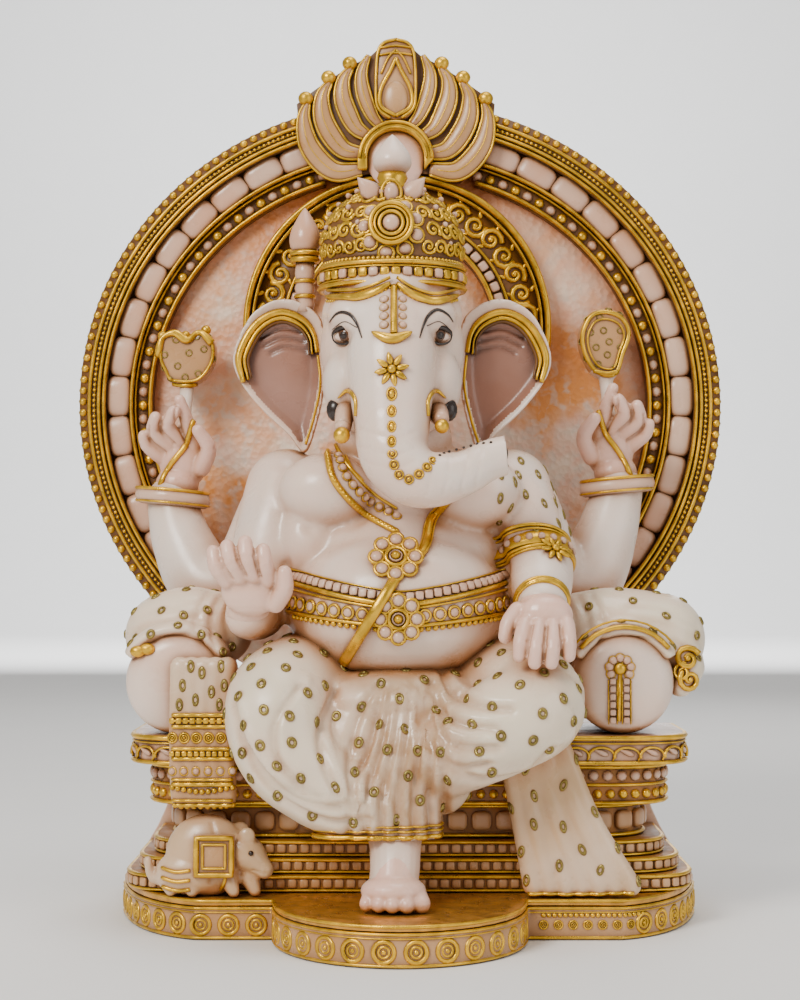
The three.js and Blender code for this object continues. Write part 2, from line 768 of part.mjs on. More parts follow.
// Cloth falls over the front of the throne: a banded panel on the left, a flared drape on the right.
const FALL = { thickness: 13, front: THRONE_COURSES.at(-1).front - BED };
place(seat, "cloth_fall_left", "cloth", (grow) =>
  upright(
    outline([
      [-143 - grow, 40 + grow],
      [-143 - grow, -44 - grow],
      [-104 + grow, -38 - grow],
      [-104 + grow, 40 + grow],
    ]),
    FALL.front - FALL.thickness - grow,
    FALL.front + grow,
  ),
);
place(seat, "cloth_fall_right", "cloth", (grow) =>
  upright(
    outline([
      [62 - grow, -8 + grow],
      [72 - grow, -66],
      [78 - grow, PLINTH_BELOW + BED - grow],
      [150 + grow, PLINTH_BELOW + BED - grow],
      [128 + grow, -74],
      [112 + grow, -38],
      [106 + grow, -8 + grow],
    ]),
    FALL.front - FALL.thickness - grow,
    FALL.front + grow,
  ),
);

// ---------------------------------------------------------------- the mouse at the throne's foot

const MOUSE = { x: 65 - PLINTH.halfWidth, y: -46, rise: 27 };
place(throne, "mouse_saddle", "gold", (grow) =>
  box(
    [MOUSE.x - 7 - grow, MOUSE.y - 15.5 - grow, MOUSE.rise - 14 - grow],
    [MOUSE.x + 19 + grow, MOUSE.y - 12 + grow, MOUSE.rise + 13 + grow],
  ),
);
place(throne, "mouse", "marble", (grow) =>
  joined([
    ellipsoid([MOUSE.x, MOUSE.y, MOUSE.rise], [27, 14.5, 27], grow),
    ellipsoid([MOUSE.x + 28, MOUSE.y - 1, MOUSE.rise - 1], [15, 13, 18], grow, 12),
    ellipsoid([MOUSE.x + 4, MOUSE.y - 1, 11], [38, 14, 11], grow, 12),
  ]),
);

export default idol;
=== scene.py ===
import random
from math import cos, pi, radians, sin, tau

import bmesh
import bpy
import numpy as np
from bpy.props import FloatProperty, FloatVectorProperty, IntProperty, PointerProperty
from mathutils import Matrix, Vector
from mathutils.bvhtree import BVHTree


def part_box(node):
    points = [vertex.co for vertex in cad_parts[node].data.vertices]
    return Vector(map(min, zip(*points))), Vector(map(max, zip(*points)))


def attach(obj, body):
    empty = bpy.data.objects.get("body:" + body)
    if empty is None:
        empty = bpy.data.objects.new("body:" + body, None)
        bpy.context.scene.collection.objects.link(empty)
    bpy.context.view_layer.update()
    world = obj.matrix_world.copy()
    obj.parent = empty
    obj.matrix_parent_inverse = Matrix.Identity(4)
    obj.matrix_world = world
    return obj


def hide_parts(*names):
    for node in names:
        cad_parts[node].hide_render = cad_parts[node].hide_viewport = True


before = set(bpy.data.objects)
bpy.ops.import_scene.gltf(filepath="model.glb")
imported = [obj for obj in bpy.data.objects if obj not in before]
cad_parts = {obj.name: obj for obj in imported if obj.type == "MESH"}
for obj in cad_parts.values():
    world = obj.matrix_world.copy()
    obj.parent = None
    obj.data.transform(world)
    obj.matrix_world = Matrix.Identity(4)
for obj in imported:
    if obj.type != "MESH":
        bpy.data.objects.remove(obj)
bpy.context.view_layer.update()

bl_info = {
    "name": "Marble Ganesha Idol", "version": (1, 0, 0), "blender": (4, 5, 0),
    "location": "View3D > Sidebar > Idol",
    "description": "Carves, paints and gilds a marble Ganesha idol on its packed frame",
    "category": "Object"
}

# Everything is drawn in millimetres and goes to metres when a piece is finished.
MM = 0.001


def vec(x, y, z):
    return Vector((x, y, z))


SIDES = ((-1, "left"), (1, "right"))
UP = vec(0, 0, 1)
FRONT = vec(0, -1, 0)


def box_mm(node):
    """The lowest and highest corners of a CAD node, in millimetres."""
    low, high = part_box(node)
    return Vector(low) / MM, Vector(high) / MM


SEAT = box_mm("throne_cap")[1].z
PLINTH_TOP = box_mm("plinth_ledge")[1].z
HALO_FRONT = box_mm("halo_slab")[0].y
HEAD_LOW, HEAD_HIGH = box_mm("head")


# ---- settings


def length(name, description, default):
    return FloatProperty(
        name=name, description=description, default=default, unit="LENGTH", subtype="DISTANCE"
    )


def colour(name, description, default):
    return FloatVectorProperty(
        name=name, description=description, default=default, size=3, subtype="COLOR", min=0.0, max=1.0
    )


class IdolSizes(bpy.types.PropertyGroup):
    """Sizes that change the idol's ornament"""

    bead: length("Halo bead", "Radius of a bead on the halo's edge", 0.0036)
    petals: IntProperty(
        name="Halo petals", description="Petals on each side of the halo", default=15, min=4
    )
    rosette: length("Plinth rosette", "Radius of a rosette on the plinth's lobe", 0.0082)
    dot: length("Cloth dot", "Radius of a painted ring on the cloth", 0.0033)
    dot_spacing: length("Dot spacing", "Distance between the cloth's painted rings", 0.0158)


class IdolColours(bpy.types.PropertyGroup):
    """Colours of the idol's marble, paint and gold"""

    marble: colour("Marble", "Polished white marble", (0.84, 0.72, 0.63))
    blush: colour("Blush", "Pink wash on hands, feet and petals", (0.83, 0.52, 0.42))
    cream: colour("Cream", "Cream marble of the carved cloth", (0.84, 0.73, 0.56))
    # Painted shade: the colour laid into the marble's creases and hollows where shade falls.
    shade: colour("Shade", "Wash in the marble's creases", (0.48, 0.22, 0.085))
    gold: colour("Gold", "Gold leaf on the raised work", (0.90, 0.53, 0.035))
    # Painted shade: the brown laid into the hollows of the gold and of the painted grounds where shade
    # falls.
    hollow_shade: colour("Patina", "Brown left in the gold's hollows", (0.075, 0.030, 0.006))
    ochre: colour("Ochre", "Ochre wash between the gold mouldings", (0.42, 0.17, 0.025))
    ink: colour("Ink", "Dark paint of the eyes and brows", (0.018, 0.011, 0.008))


# ---- finishes


class Finish:
    """A node material, written a node at a time."""

    def __init__(self, name):
        self.material = bpy.data.materials.new(name)
        self.material.use_nodes = True
        self.tree = self.material.node_tree
        self.shader = self.tree.nodes["Principled BSDF"]
        self.place = self.tree.nodes.new("ShaderNodeTexCoord").outputs["Object"]

    def node(self, kind, inputs=None, **settings):
        made = self.tree.nodes.new(kind)
        for key, value in settings.items():
            setattr(made, key, value)
        for key, value in (inputs or {}).items():
            self.join(value, made.inputs[key])
        return made

    def join(self, value, socket):
        """Link an output to a socket, or set the socket's own value."""
        if isinstance(value, bpy.types.NodeSocket):
            self.tree.links.new(value, socket)
        else:
            socket.default_value = value

    def maths(self, operation, *values):
        inputs = dict(enumerate(values))
        return self.node("ShaderNodeMath", inputs, operation=operation).outputs[0]

    def noise(self, scale, detail=3.0, distortion=0.0):
        inputs = {"Vector": self.place, "Scale": scale, "Detail": detail, "Distortion": distortion}
        return self.node("ShaderNodeTexNoise", inputs).outputs["Fac"]

    def cells(self, scale):
        inputs = {"Vector": self.place, "Scale": scale}
        return self.node("ShaderNodeTexVoronoi", inputs).outputs["Distance"]

    def spread(self, value, low, high, to_low=0.0, to_high=1.0):
        inputs = {"Value": value, "From Min": low, "From Max": high, "To Min": to_low, "To Max": to_high}
        return self.node("ShaderNodeMapRange", inputs).outputs["Result"]

    def blend(self, share, first, second):
        def rgba(value):
            return value if isinstance(value, bpy.types.NodeSocket) else (*value, 1.0)

        inputs = {0: share, 6: rgba(first), 7: rgba(second)}
        return self.node("ShaderNodeMix", inputs, data_type="RGBA").outputs[2]

    def hollows(self, distance, low, high):
        """Ambient occlusion, the mask for painted shade: 1 deep in a hollow and 0 on open surface."""
        inputs = {"Distance": distance}
        shade = self.node("ShaderNodeAmbientOcclusion", inputs, samples=5).outputs["AO"]
        return self.spread(shade, low, high, 1.0, 0.0)

    def relief(self, height, strength, distance):
        inputs = {"Height": height, "Strength": strength, "Distance": distance}
        bump = self.node("ShaderNodeBump", inputs)
        self.tree.links.new(bump.outputs["Normal"], self.shader.inputs["Normal"])

    def feed(self, **sockets):
        for key, value in sockets.items():
            self.join(value, self.shader.inputs[key.replace("_", " ")])


# Across-position of the dhoti's middle folds, where their painted shade is darkest.
PLEATS_X = 0.006


def marble_finish(name, base, tint, crease, reach=0.009, roughness=(0.22, 0.42), pleat_shade=None):
    """Polished stone with a drifting tint, a warm painted shade in its creases and hollows and a soft glow.
    """
    f = Finish(name)
    drift = f.spread(f.noise(13.0, 4.0, 0.6), 0.38, 0.66)
    cool = f.spread(f.noise(21.0, 2.0), 0.50, 0.72, 0.0, 0.5)
    stone = f.blend(drift, base, tint)
    stone = f.blend(cool, stone, tuple(0.86 * c for c in base))
    # Painted shade on the dhoti's pleats: a streaked brown band, darkest down the middle folds and fading
    # out to the sides.
    if pleat_shade:
        across = f.node("ShaderNodeSeparateXYZ", {0: f.place}).outputs["X"]
        away = f.maths("ABSOLUTE", f.maths("SUBTRACT", across, PLEATS_X))
        streak = f.spread(f.noise(52.0, 4.0, 1.0), 0.30, 0.70, 0.35, 1.0)
        wash = f.maths("MULTIPLY", f.spread(away, 0.014, 0.046, 1.0, 0.0), streak)
        stone = f.blend(wash, stone, pleat_shade)
    veins = f.spread(f.noise(34.0, 6.0, 2.4), 0.485, 0.515)
    veins = f.maths("COMPARE", veins, 0.5)
    stone = f.blend(f.spread(veins, 0.0, 1.0, 0.0, 0.06), stone, crease)
    # Painted shade: the stone goes toward the crease colour in hollows found by ambient occlusion, and
    # toward a darker one in the tightest hollows.
    stone = f.blend(f.hollows(reach, 0.34, 0.97), stone, crease)
    tight_shade = f.spread(f.hollows(0.22 * reach, 0.22, 0.92), 0.0, 1.0, 0.0, 0.8)
    stone = f.blend(tight_shade, stone, tuple(0.42 * c for c in crease))
    f.feed(
        Base_Color=stone, Roughness=f.spread(f.noise(60.0, 4.0), 0.3, 0.7, *roughness),
        Subsurface_Weight=0.08, Subsurface_Radius=(0.006, 0.0036, 0.0026), Subsurface_Scale=1.0,
        Coat_Weight=0.12, Coat_Roughness=0.18
    )
    f.relief(f.noise(420.0, 3.0), 0.12, 0.0006)
    return f.material


def gold_finish(name, gold, hollow_shade, reach=0.0024):
    """Gold leaf over carving, with painted shade: brown and duller in the hollows, bright on the open high
    places.
    """
    f = Finish(name)
    deep = tuple(0.62 * c for c in gold)
    film = f.blend(f.spread(f.noise(90.0, 4.0, 0.4), 0.34, 0.66), deep, gold)
    # Painted shade: the gold goes brown and loses its metal sheen in hollows found by ambient occlusion.
    hollow = f.hollows(reach, 0.22, 0.66)
    film = f.blend(hollow, film, hollow_shade)
    f.feed(
        Base_Color=film, Metallic=f.spread(hollow, 0.0, 1.0, 0.82, 0.1),
        Roughness=f.spread(f.noise(150.0, 3.0), 0.3, 0.7, 0.24, 0.46)
    )
    f.relief(f.noise(700.0, 3.0), 0.22, 0.0005)
    return f.material


def wash_finish(name, base, dark):
    """Flat paint rubbed into stone, uneven, and darker in its hollows as painted shade."""
    f = Finish(name)
    patch = f.spread(f.noise(45.0, 5.0, 0.8), 0.32, 0.68)
    coat = f.blend(patch, tuple(0.6 * c for c in base), base)
    # Painted shade: the paint darkens in hollows found by ambient occlusion.
    coat = f.blend(f.hollows(0.005, 0.25, 0.85), coat, dark)
    f.feed(
        Base_Color=coat, Roughness=f.spread(f.noise(80.0), 0.3, 0.7, 0.38, 0.62), Specular_IOR_Level=0.45
    )
    f.relief(f.noise(160.0, 4.0), 0.3, 0.0008)
    return f.material


def panel_finish(name, pale, pink, amber):
    """The halo's field: stippled stone, mottled with pale, pink and amber washes."""
    f = Finish(name)
    mottle = f.spread(f.noise(26.0, 3.0, 1.2), 0.36, 0.62)
    warm = f.spread(f.noise(17.0, 4.0, 0.8), 0.46, 0.66)
    fleck = f.spread(f.noise(120.0, 2.0, 0.3), 0.52, 0.66, 0.0, 0.55)
    stone = f.blend(mottle, pale, pink)
    stone = f.blend(warm, stone, amber)
    stone = f.blend(fleck, stone, (0.66, 0.58, 0.50))
    # Painted shade: the field goes dark orange-brown near the raised work, in hollows found by ambient
    # occlusion.
    stone = f.blend(f.hollows(0.030, 0.30, 1.0), stone, (0.50, 0.16, 0.04))
    f.feed(Base_Color=stone, Roughness=0.5)
    f.relief(f.maths("ADD", f.cells(230.0), f.noise(90.0, 5.0)), 0.55, 0.0016)
    return f.material


def ink_finish(name, base, roughness):
    f = Finish(name)
    f.feed(Base_Color=f.blend(f.noise(300.0), base, tuple(1.6 * c for c in base)), Roughness=roughness)
    return f.material


def paper_finish(name):
    f = Finish(name)
    f.feed(Base_Color=f.blend(f.noise(8.0), (0.85, 0.85, 0.85), (0.88, 0.88, 0.875)), Roughness=0.85)
    return f.material


def steel_finish(name):
    f = Finish(name)
    grain = f.spread(f.noise(900.0, 2.0), 0.3, 0.7, 0.22, 0.38)
    f.feed(
        Base_Color=f.blend(f.noise(60.0), (0.50, 0.51, 0.52), (0.62, 0.62, 0.63)), Metallic=1.0,
        Roughness=grain
    )
    return f.material


FINISHES = {}


def make_finishes(c):
    shade, deep_shade = tuple(c.shade), tuple(0.55 * v for v in c.shade)
    FINISHES.update(
        marble=marble_finish("polished_marble", c.marble, (0.84, 0.61, 0.49), shade, reach=0.028),
        blush=marble_finish("blush_marble", c.blush, (0.84, 0.57, 0.45), shade, reach=0.016),
        cloth=marble_finish("cloth_marble", c.cream, (0.84, 0.68, 0.53), shade, reach=0.022),
        # The dhoti's pleat colour is painted shade for its middle folds.
        dhoti=marble_finish(
            "dhoti_marble", c.cream, (0.84, 0.68, 0.53), shade, reach=0.024, pleat_shade=(0.42, 0.25, 0.12)
        ),
        drape=marble_finish("drape_marble", (0.60, 0.40, 0.22), (0.72, 0.54, 0.38), shade, reach=0.018),
        petal=marble_finish(
            "petal_marble", (0.72, 0.49, 0.36), (0.66, 0.36, 0.23), deep_shade, reach=0.009
        ),
        lotus=marble_finish(
            "lotus_marble", (0.50, 0.26, 0.10), (0.62, 0.37, 0.19), deep_shade, reach=0.010
        ),
        ring=gold_finish("ring_paint", (0.34, 0.26, 0.07), tuple(c.hollow_shade)),
        gold=gold_finish("antique_gold", tuple(c.gold), tuple(c.hollow_shade)),
        ochre=wash_finish("ochre_wash", tuple(c.ochre), tuple(c.hollow_shade)),
        stage_gold=gold_finish("ledge_gold", (0.78, 0.40, 0.08), tuple(c.hollow_shade), reach=0.008),
        panel=panel_finish("halo_field", (0.82, 0.68, 0.54), (0.78, 0.44, 0.30), (0.74, 0.30, 0.07)),
        umber=wash_finish("umber_wash", (0.17, 0.068, 0.012), tuple(c.hollow_shade)),
        ink=ink_finish("eye_ink", tuple(c.ink), 0.25),
        iris=ink_finish("eye_brown", (0.075, 0.032, 0.014), 0.15), steel=steel_finish("dowel_steel"),
        # The ear's near-black crease colour is painted shade under its rim and in its folds.
        ear=marble_finish(
            "ear_marble", (0.34, 0.15, 0.095), (0.42, 0.24, 0.19), (0.06, 0.018, 0.006), reach=0.022
        ),
        paper=paper_finish("paper_floor")
    )


# ---- drawing in bmesh


def drawings(count):
    return [bmesh.new() for _ in range(count)]


def globe(bm, place, around, rows):
    """A unit ball set in a frame."""
    bmesh.ops.create_uvsphere(bm, u_segments=around, v_segments=rows, radius=1.0, matrix=place)


def only(geometry, kind):
    """The verts, edges or faces among what an operator made."""
    return [item for item in geometry if isinstance(item, kind)]


def edges_of(verts):
    return list({edge for vert in verts for edge in vert.link_edges})


def ease(bm, edges, offset, segments):
    """Round edges off."""
    bmesh.ops.bevel(
        bm, geom=edges, offset=offset, segments=segments, profile=0.5, affect="EDGES", material=-1,
        clamp_overlap=True
    )


def paint(bm, test):
    """Give the faces that pass a test the piece's second finish, and the rest its first."""
    for face in bm.faces:
        face.material_index = int(test(face))


def ring_route(count, spot, way):
    """A closed route of (point, normal), each a function of the cosine and sine of its angle."""
    turns = [tau * k / count for k in range(count)]
    return [(spot(cos(t), sin(t)), way(cos(t), sin(t))) for t in turns]


def axes_matrix(point, x_axis, y_axis, z_axis):
    matrix = Matrix((x_axis, y_axis, z_axis)).transposed().to_4x4()
    matrix.translation = point
    return matrix


def facing(point, normal, size=1.0, depth=None, up=UP, turn=0.0):
    """A frame on a surface: +Z out of it, +Y as near up as it goes, turned in its own plane.

    The size is one number, with a depth of its own where it has one, or a tuple for the three axes.
    """
    normal = normal.normalized()
    side = up.cross(normal)
    if side.length < 1e-4:
        side = vec(1, 0, 0)
    side.normalize()
    spin = Matrix.Rotation(turn, 3, normal)
    side, rise = spin @ side, spin @ normal.cross(side)
    wide, tall, deep = size if isinstance(size, tuple) else (size, size, size if depth is None else depth)
    return axes_matrix(point, side * wide, rise * tall, normal * deep)


def ball(bm, centre, radii, segments=16):
    """An ellipsoid along the axes."""
    radii = (radii, radii, radii) if isinstance(radii, (int, float)) else radii
    place = Matrix.Translation(centre) @ Matrix.Diagonal((*radii, 1.0))
    globe(bm, place, segments, segments // 2)


def loft(bm, frames, sides=8, closed=False):
    """A ring drawn out from frame to frame, with its ends filled or joined."""
    ring = bmesh.ops.create_circle(bm, segments=sides, radius=1.0, matrix=frames[0])["verts"]
    first = loop = edges_of(ring)
    for before, after in zip(frames, frames[1:]):
        made = bmesh.ops.extrude_edge_only(bm, edges=loop)["geom"]
        ring, loop = only(made, bmesh.types.BMVert), only(made, bmesh.types.BMEdge)
        bmesh.ops.transform(bm, matrix=after @ before.inverted(), verts=ring)
    if closed:
        bmesh.ops.bridge_loops(bm, edges=first + loop)
    else:
        bmesh.ops.edgeloop_fill(bm, edges=first)
        bmesh.ops.edgeloop_fill(bm, edges=loop)


def amount(value, share):
    return value(share) if callable(value) else value


def wire(bm, route, width, height=None, sides=6, closed=False):
    """A moulding along a route of (point, normal), with half its width and half its height."""
    height = width if height is None else height
    frames, count = [], len(route)
    for i, (point, normal) in enumerate(route):
        before = route[i - 1][0] if i or closed else point
        after = route[(i + 1) % count][0] if i < count - 1 or closed else point
        along = (after - before).normalized()
        side = along.cross(normal).normalized()
        share = i / (count - 1)
        size = (amount(width, share), amount(height, share))
        frames.append(axes_matrix(point, side * size[0], side.cross(along) * size[1], along))
    loft(bm, frames, sides, closed)


def limb(bm, *stations, sides=18, flat=1.0):
    """A smooth limb through (x, y, z, radius) stations, with round ends. flat squeezes it front to back."""
    points = through([Vector(s[:3]) for s in stations], 4.0)
    radii = through([vec(s[3], 0, 0) for s in stations], None, len(points))
    frames = []
    for i, point in enumerate(points):
        along = (points[min(i + 1, len(points) - 1)] - points[max(i - 1, 0)]).normalized()
        side = along.cross(FRONT)
        side = side.normalized() if side.length > 0.05 else along.cross(UP).normalized()
        out = side.cross(along)
        radius = max(radii[i].x, 0.5)
        frames.append(axes_matrix(point, side * radius, out * radius * flat, along))
    loft(bm, frames, sides)
    for point, radius in ((points[0], radii[0].x), (points[-1], radii[-1].x)):
        ball(bm, point, (radius * 0.999, radius * flat, radius * 0.999), sides)


def evenly(points, spacing, count=None, closed=False):
    """Points at an even spacing along a polyline. Both ends are kept."""
    line = points + [points[0]] if closed else points
    marks = [0.0]
    for a, b in zip(line, line[1:]):
        marks.append(marks[-1] + (b - a).length)
    steps = (count - 1) if count else max(1, round(marks[-1] / spacing))
    out, j = [], 0
    for i in range(steps + (0 if closed else 1)):
        target = marks[-1] * i / steps
        while j < len(marks) - 2 and marks[j + 1] < target:
            j += 1
        span = marks[j + 1] - marks[j]
        share = (target - marks[j]) / span if span > 1e-9 else 0.0
        out.append(line[j].lerp(line[j + 1], share))
    return out


def through(points, spacing, count=None):
    """Points on a smooth curve through a few given ones."""
    ends = [points[0] * 2 - points[1], *points, points[-1] * 2 - points[-2]]
    fine = []
    for a, b, c, d in zip(ends, ends[1:], ends[2:], ends[3:]):
        for k in range(10):
            t = k / 10
            fine.append(
                0.5 * (
                    2 * b + (c - a) * t + (2 * a - 5 * b + 4 * c - d) * t**2 + (
                        3 * b - a - 3 * c + d
                    ) * t**3
                )
            )
    fine.append(points[-1])
    if spacing is None:
        return [fine[round(i * (len(fine) - 1) / (count - 1))] for i in range(count)]
    return evenly(fine, spacing)


def template(draw):
    """A small ornament kept as a mesh, ready to be stamped many times."""
    bm = bmesh.new()
    draw(bm)
    bmesh.ops.recalc_face_normals(bm, faces=bm.faces)
    mesh = bpy.data.meshes.new("stamp")
    bm.to_mesh(mesh)
    bm.free()
    return mesh


def add_copy(bm, mesh, matrix):
    """Add a turned and sized copy of a mesh."""
    copy = mesh.copy()
    copy.transform(matrix)
    bm.from_mesh(copy)
    bpy.data.meshes.remove(copy)


def paint_faces(bm, start, index):
    """Give every face made since start a material index."""
    bm.faces.ensure_lookup_table()
    for face in bm.faces[start:]:
        face.material_index = index


def hoop(bm, radius, thickness, height=None, around=14, sides=5):
    """A ring lying in the XY plane."""
    height = thickness if height is None else height
    section = axes_matrix(vec(radius, 0, 0), vec(thickness, 0, 0), vec(0, 0, height), vec(0, -1, 0))
    verts = bmesh.ops.create_circle(bm, segments=sides, radius=1.0, matrix=section)["verts"]
    edges = edges_of(verts)
    bmesh.ops.spin(
        bm, geom=verts + edges, cent=(0, 0, 0), axis=(0, 0, 1), angle=tau, steps=around, use_merge=True
    )


def curl(bm, size, turns=1.4, thickness=0.16, hand=1, sides=5, steps=16):
    """A scroll in the XY plane: a tail that rolls up into an eye."""
    route = []
    for i in range(steps + 1):
        share = i / steps
        radius = size * (1 - share) ** 0.8 * 0.5 + 0.06 * size
        angle = share * turns * tau
        route.append((vec(radius * cos(angle), hand * radius * sin(angle), 0), UP))
    wire(bm, route, lambda s: size * thickness * (1 - 0.45 * s), lambda s: size * thickness * 1.1, sides)
    ball(bm, (0, 0, size * 0.06), size * 0.15, 8)


def leaf(bm, length, width, height, tip=0.9, segments=8):
    """A petal in the XY plane with its foot at the origin and its tip along +Y."""
    place = Matrix.Translation((0, length / 2, 0)) @ Matrix.Diagonal((width / 2, length / 2, height, 1))
    made = bmesh.ops.create_uvsphere(
        bm, u_segments=segments, v_segments=6, radius=1.0, matrix=place @ Matrix.Rotation(pi / 2, 4, "X")
    )["verts"]
    for vert in made:
        share = max(0.0, min(1.0, vert.co.y / length))
        vert.co.x *= 1 - tip * share**2
    return made


STAMPS = {}


def make_stamps():
    def bead(bm):
        globe(bm, Matrix(), 8, 5)

    def pearl(bm):
        globe(bm, Matrix(), 14, 8)

    def rosette(bm):
        hoop(bm, 0.80, 0.20, 0.42, around=16)
        hoop(bm, 0.42, 0.13, 0.34, around=12)
        ball(bm, (0, 0, 0.05), (0.22, 0.22, 0.42), 8)

    def rings(bm):
        hoop(bm, 0.78, 0.19, 0.24, around=12)

    def ring(bm):
        hoop(bm, 0.66, 0.31, 0.34, around=12)

    def flower(bm):
        for k in range(8):
            around = Matrix.Rotation(k * tau / 8, 4, "Z") @ Matrix.Translation((0, 0.24, 0))
            bmesh.ops.transform(bm, matrix=around, verts=leaf(bm, 0.74, 0.40, 0.16, tip=0.5))
        ball(bm, (0, 0, 0.08), (0.26, 0.26, 0.24), 8)

    def scroll(bm):
        curl(bm, 1.0)

    def mirror_scroll(bm):
        curl(bm, 1.0, hand=-1)

    def petal(bm):
        leaf(bm, 1.0, 0.6, 0.2)

    def block(bm):
        ease(bm, edges_of(bmesh.ops.create_cube(bm, size=2.0)["verts"]), 0.5, 2)

    def pillow(bm):
        ease(bm, edges_of(bmesh.ops.create_cube(bm, size=2.0)["verts"]), 0.62, 4)

    def teardrop(bm):
        leaf(bm, 2.0, 1.3, 0.4, tip=0.85)
        bmesh.ops.translate(bm, vec=(0, -0.9, 0), verts=bm.verts)

    for draw in (
        bead, pearl, rosette, rings, ring, flower, scroll, mirror_scroll, petal, block, pillow, teardrop
    ):
        STAMPS[draw.__name__] = template(draw)


def stamp(bm, kind, matrix):
    add_copy(bm, STAMPS[kind], matrix)


def stud(bm, kind, point, normal, size, depth=None, up=UP, turn=0.0):
    """One stamp set on a surface."""
    stamp(bm, kind, facing(point, normal, size, depth, up, turn))


def string(bm, route, spacing, size, kind="bead", depth=None, skip=None):
    """Stamps set at an even spacing along a route of (point, normal)."""
    points = [point for point, _ in route]
    places = evenly(points, spacing)
    for i, place in enumerate(places):
        if skip and skip(i):
            continue
        near = min(range(len(points)), key=lambda k: (points[k] - place).length_squared)
        stud(bm, kind, place, route[near][1], size, depth)


def sharpen(bm, degrees=38.0):
    """Keep hard edges crisp and let the rest shade smoothly."""
    limit = radians(degrees)
    for edge in bm.edges:
        edge.smooth = len(edge.link_faces) != 2 or edge.calc_face_angle(0.0) < limit


def finish_piece(bm, name, slot, finishes, *nodes, crisp=False):
    """Turn a drawing into a piece that rides with the idol."""
    bmesh.ops.recalc_face_normals(bm, faces=bm.faces)
    bmesh.ops.scale(bm, vec=(MM, MM, MM), verts=bm.verts)
    for face in bm.faces:
        face.smooth = True
    if crisp:
        sharpen(bm)
    mesh = bpy.data.meshes.new(name)
    bm.to_mesh(mesh)
    bm.free()
    for key in finishes.split():
        mesh.materials.append(FINISHES[key])
    piece = bpy.data.objects.new(name, mesh)
    bpy.context.scene.collection.objects.link(piece)
    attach(piece, "root")
    if nodes:
        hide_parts(*nodes)
    return piece


def gild(bm, name):
    finish_piece(bm, name, "gilding", "gold")


def ring_work(bm, name):
    finish_piece(bm, name, "gilding", "ring")


def pearl_work(bm, name):
    finish_piece(bm, name, "white_marble", "petal")


def carved(bm, node, slot, finishes):
    """A carved piece in place of a node, named after it."""
    finish_piece(bm, node + "_carved", slot, finishes, node)


def dress(node, name, slot, finishes, bevel, segments=2):
    """A node's own shape with eased edges and a finish."""
    finish_piece(node_copy(node, bevel, segments), name, slot, finishes, node, crisp=True)


def evaluated(bm, *modifiers):
    """Run modifiers on a drawing and put the result back into it."""
    mesh = bpy.data.meshes.new("work")
    bm.to_mesh(mesh)
    work = bpy.data.objects.new("work", mesh)
    bpy.context.scene.collection.objects.link(work)
    for kind, settings in modifiers:
        modifier = work.modifiers.new(kind, kind)
        for key, value in settings.items():
            setattr(modifier, key, value)
    depsgraph = bpy.context.evaluated_depsgraph_get()
    result = bpy.data.meshes.new_from_object(work.evaluated_get(depsgraph), depsgraph=depsgraph)
    bm.clear()
    bm.from_mesh(result)
    bpy.data.objects.remove(work)
    bpy.data.meshes.remove(mesh)
    bpy.data.meshes.remove(result)


def melt(bm, voxel, rounds=4):
    """Run loose masses together into one smooth body."""
    bmesh.ops.recalc_face_normals(bm, faces=bm.faces)
    evaluated(
        bm, ("REMESH", {"mode": "VOXEL", "voxel_size": voxel, "adaptivity": 0.0}),
        ("SMOOTH", {"factor": 0.5, "iterations": rounds})
    )
    bm.normal_update()


def crease(bm, points, width, depth):
    """Press a soft groove along a path, or raise a ridge where depth is negative."""
    verts = list(bm.verts)
    where = np.array([vert.co for vert in verts])
    line = np.array([tuple(point) for point in through([Vector(p) for p in points], 3.0)])
    gap = np.full(len(verts), 1e9)
    for start, end in zip(line, line[1:]):
        span = end - start
        share = np.clip(((where - start) @ span) / max(span @ span, 1e-9), 0, 1)
        gap = np.minimum(gap, np.linalg.norm(where - start - share[:, None] * span, axis=1))
    push = depth * np.exp(-((gap / width) ** 2))
    for i in np.nonzero(np.abs(push) > 0.02)[0]:
        verts[i].co -= verts[i].normal * push[i]
    bm.normal_update()


def cut_off(bm, point, normal):
    """Cut away what lies beyond a plane and close the cut."""
    whole = bm.verts[:] + bm.edges[:] + bm.faces[:]
    cut = bmesh.ops.bisect_plane(bm, geom=whole, plane_co=point, plane_no=normal, clear_outer=True)
    bmesh.ops.holes_fill(bm, edges=only(cut["geom_cut"], bmesh.types.BMEdge), sides=0)
    bm.normal_update()


class Skin:
    """A finished body's surface, which ornament is laid on."""

    def __init__(self, bm):
        self.bm = bm
        self.tree = BVHTree.FromBMesh(bm)

    def front(self, x, z):
        """Where a straight line from in front meets the surface, and the way the surface faces there."""
        point, normal, _, _ = self.tree.ray_cast(vec(x, -400, z), -FRONT)
        return (point, normal) if point else None

    def nearest(self, point):
        place, normal, _, _ = self.tree.find_nearest(Vector(point))
        return place, normal

    def lay(self, points, spacing=2.0, lift=0.0):
        """A route over the surface through a few (x, z) points seen from in front."""
        curve = through([vec(x, 0, z) for x, z in points], spacing)
        found = [self.front(point.x, point.z) for point in curve]
        found = [hit for hit in found if hit]
        out = []
        for i, (point, _) in enumerate(found):
            around = found[max(0, i - 2) : i + 3]
            normal = sum((n for _, n in around), Vector()).normalized()
            out.append((point + normal * lift, normal))
        return out

    def press(self, points, width, depth):
        """A groove along a route over the surface, seen from in front."""
        line = [point for point, _ in self.lay(points, 3.0)]
        if len(line) > 1:
            crease(self.bm, line, width, depth)


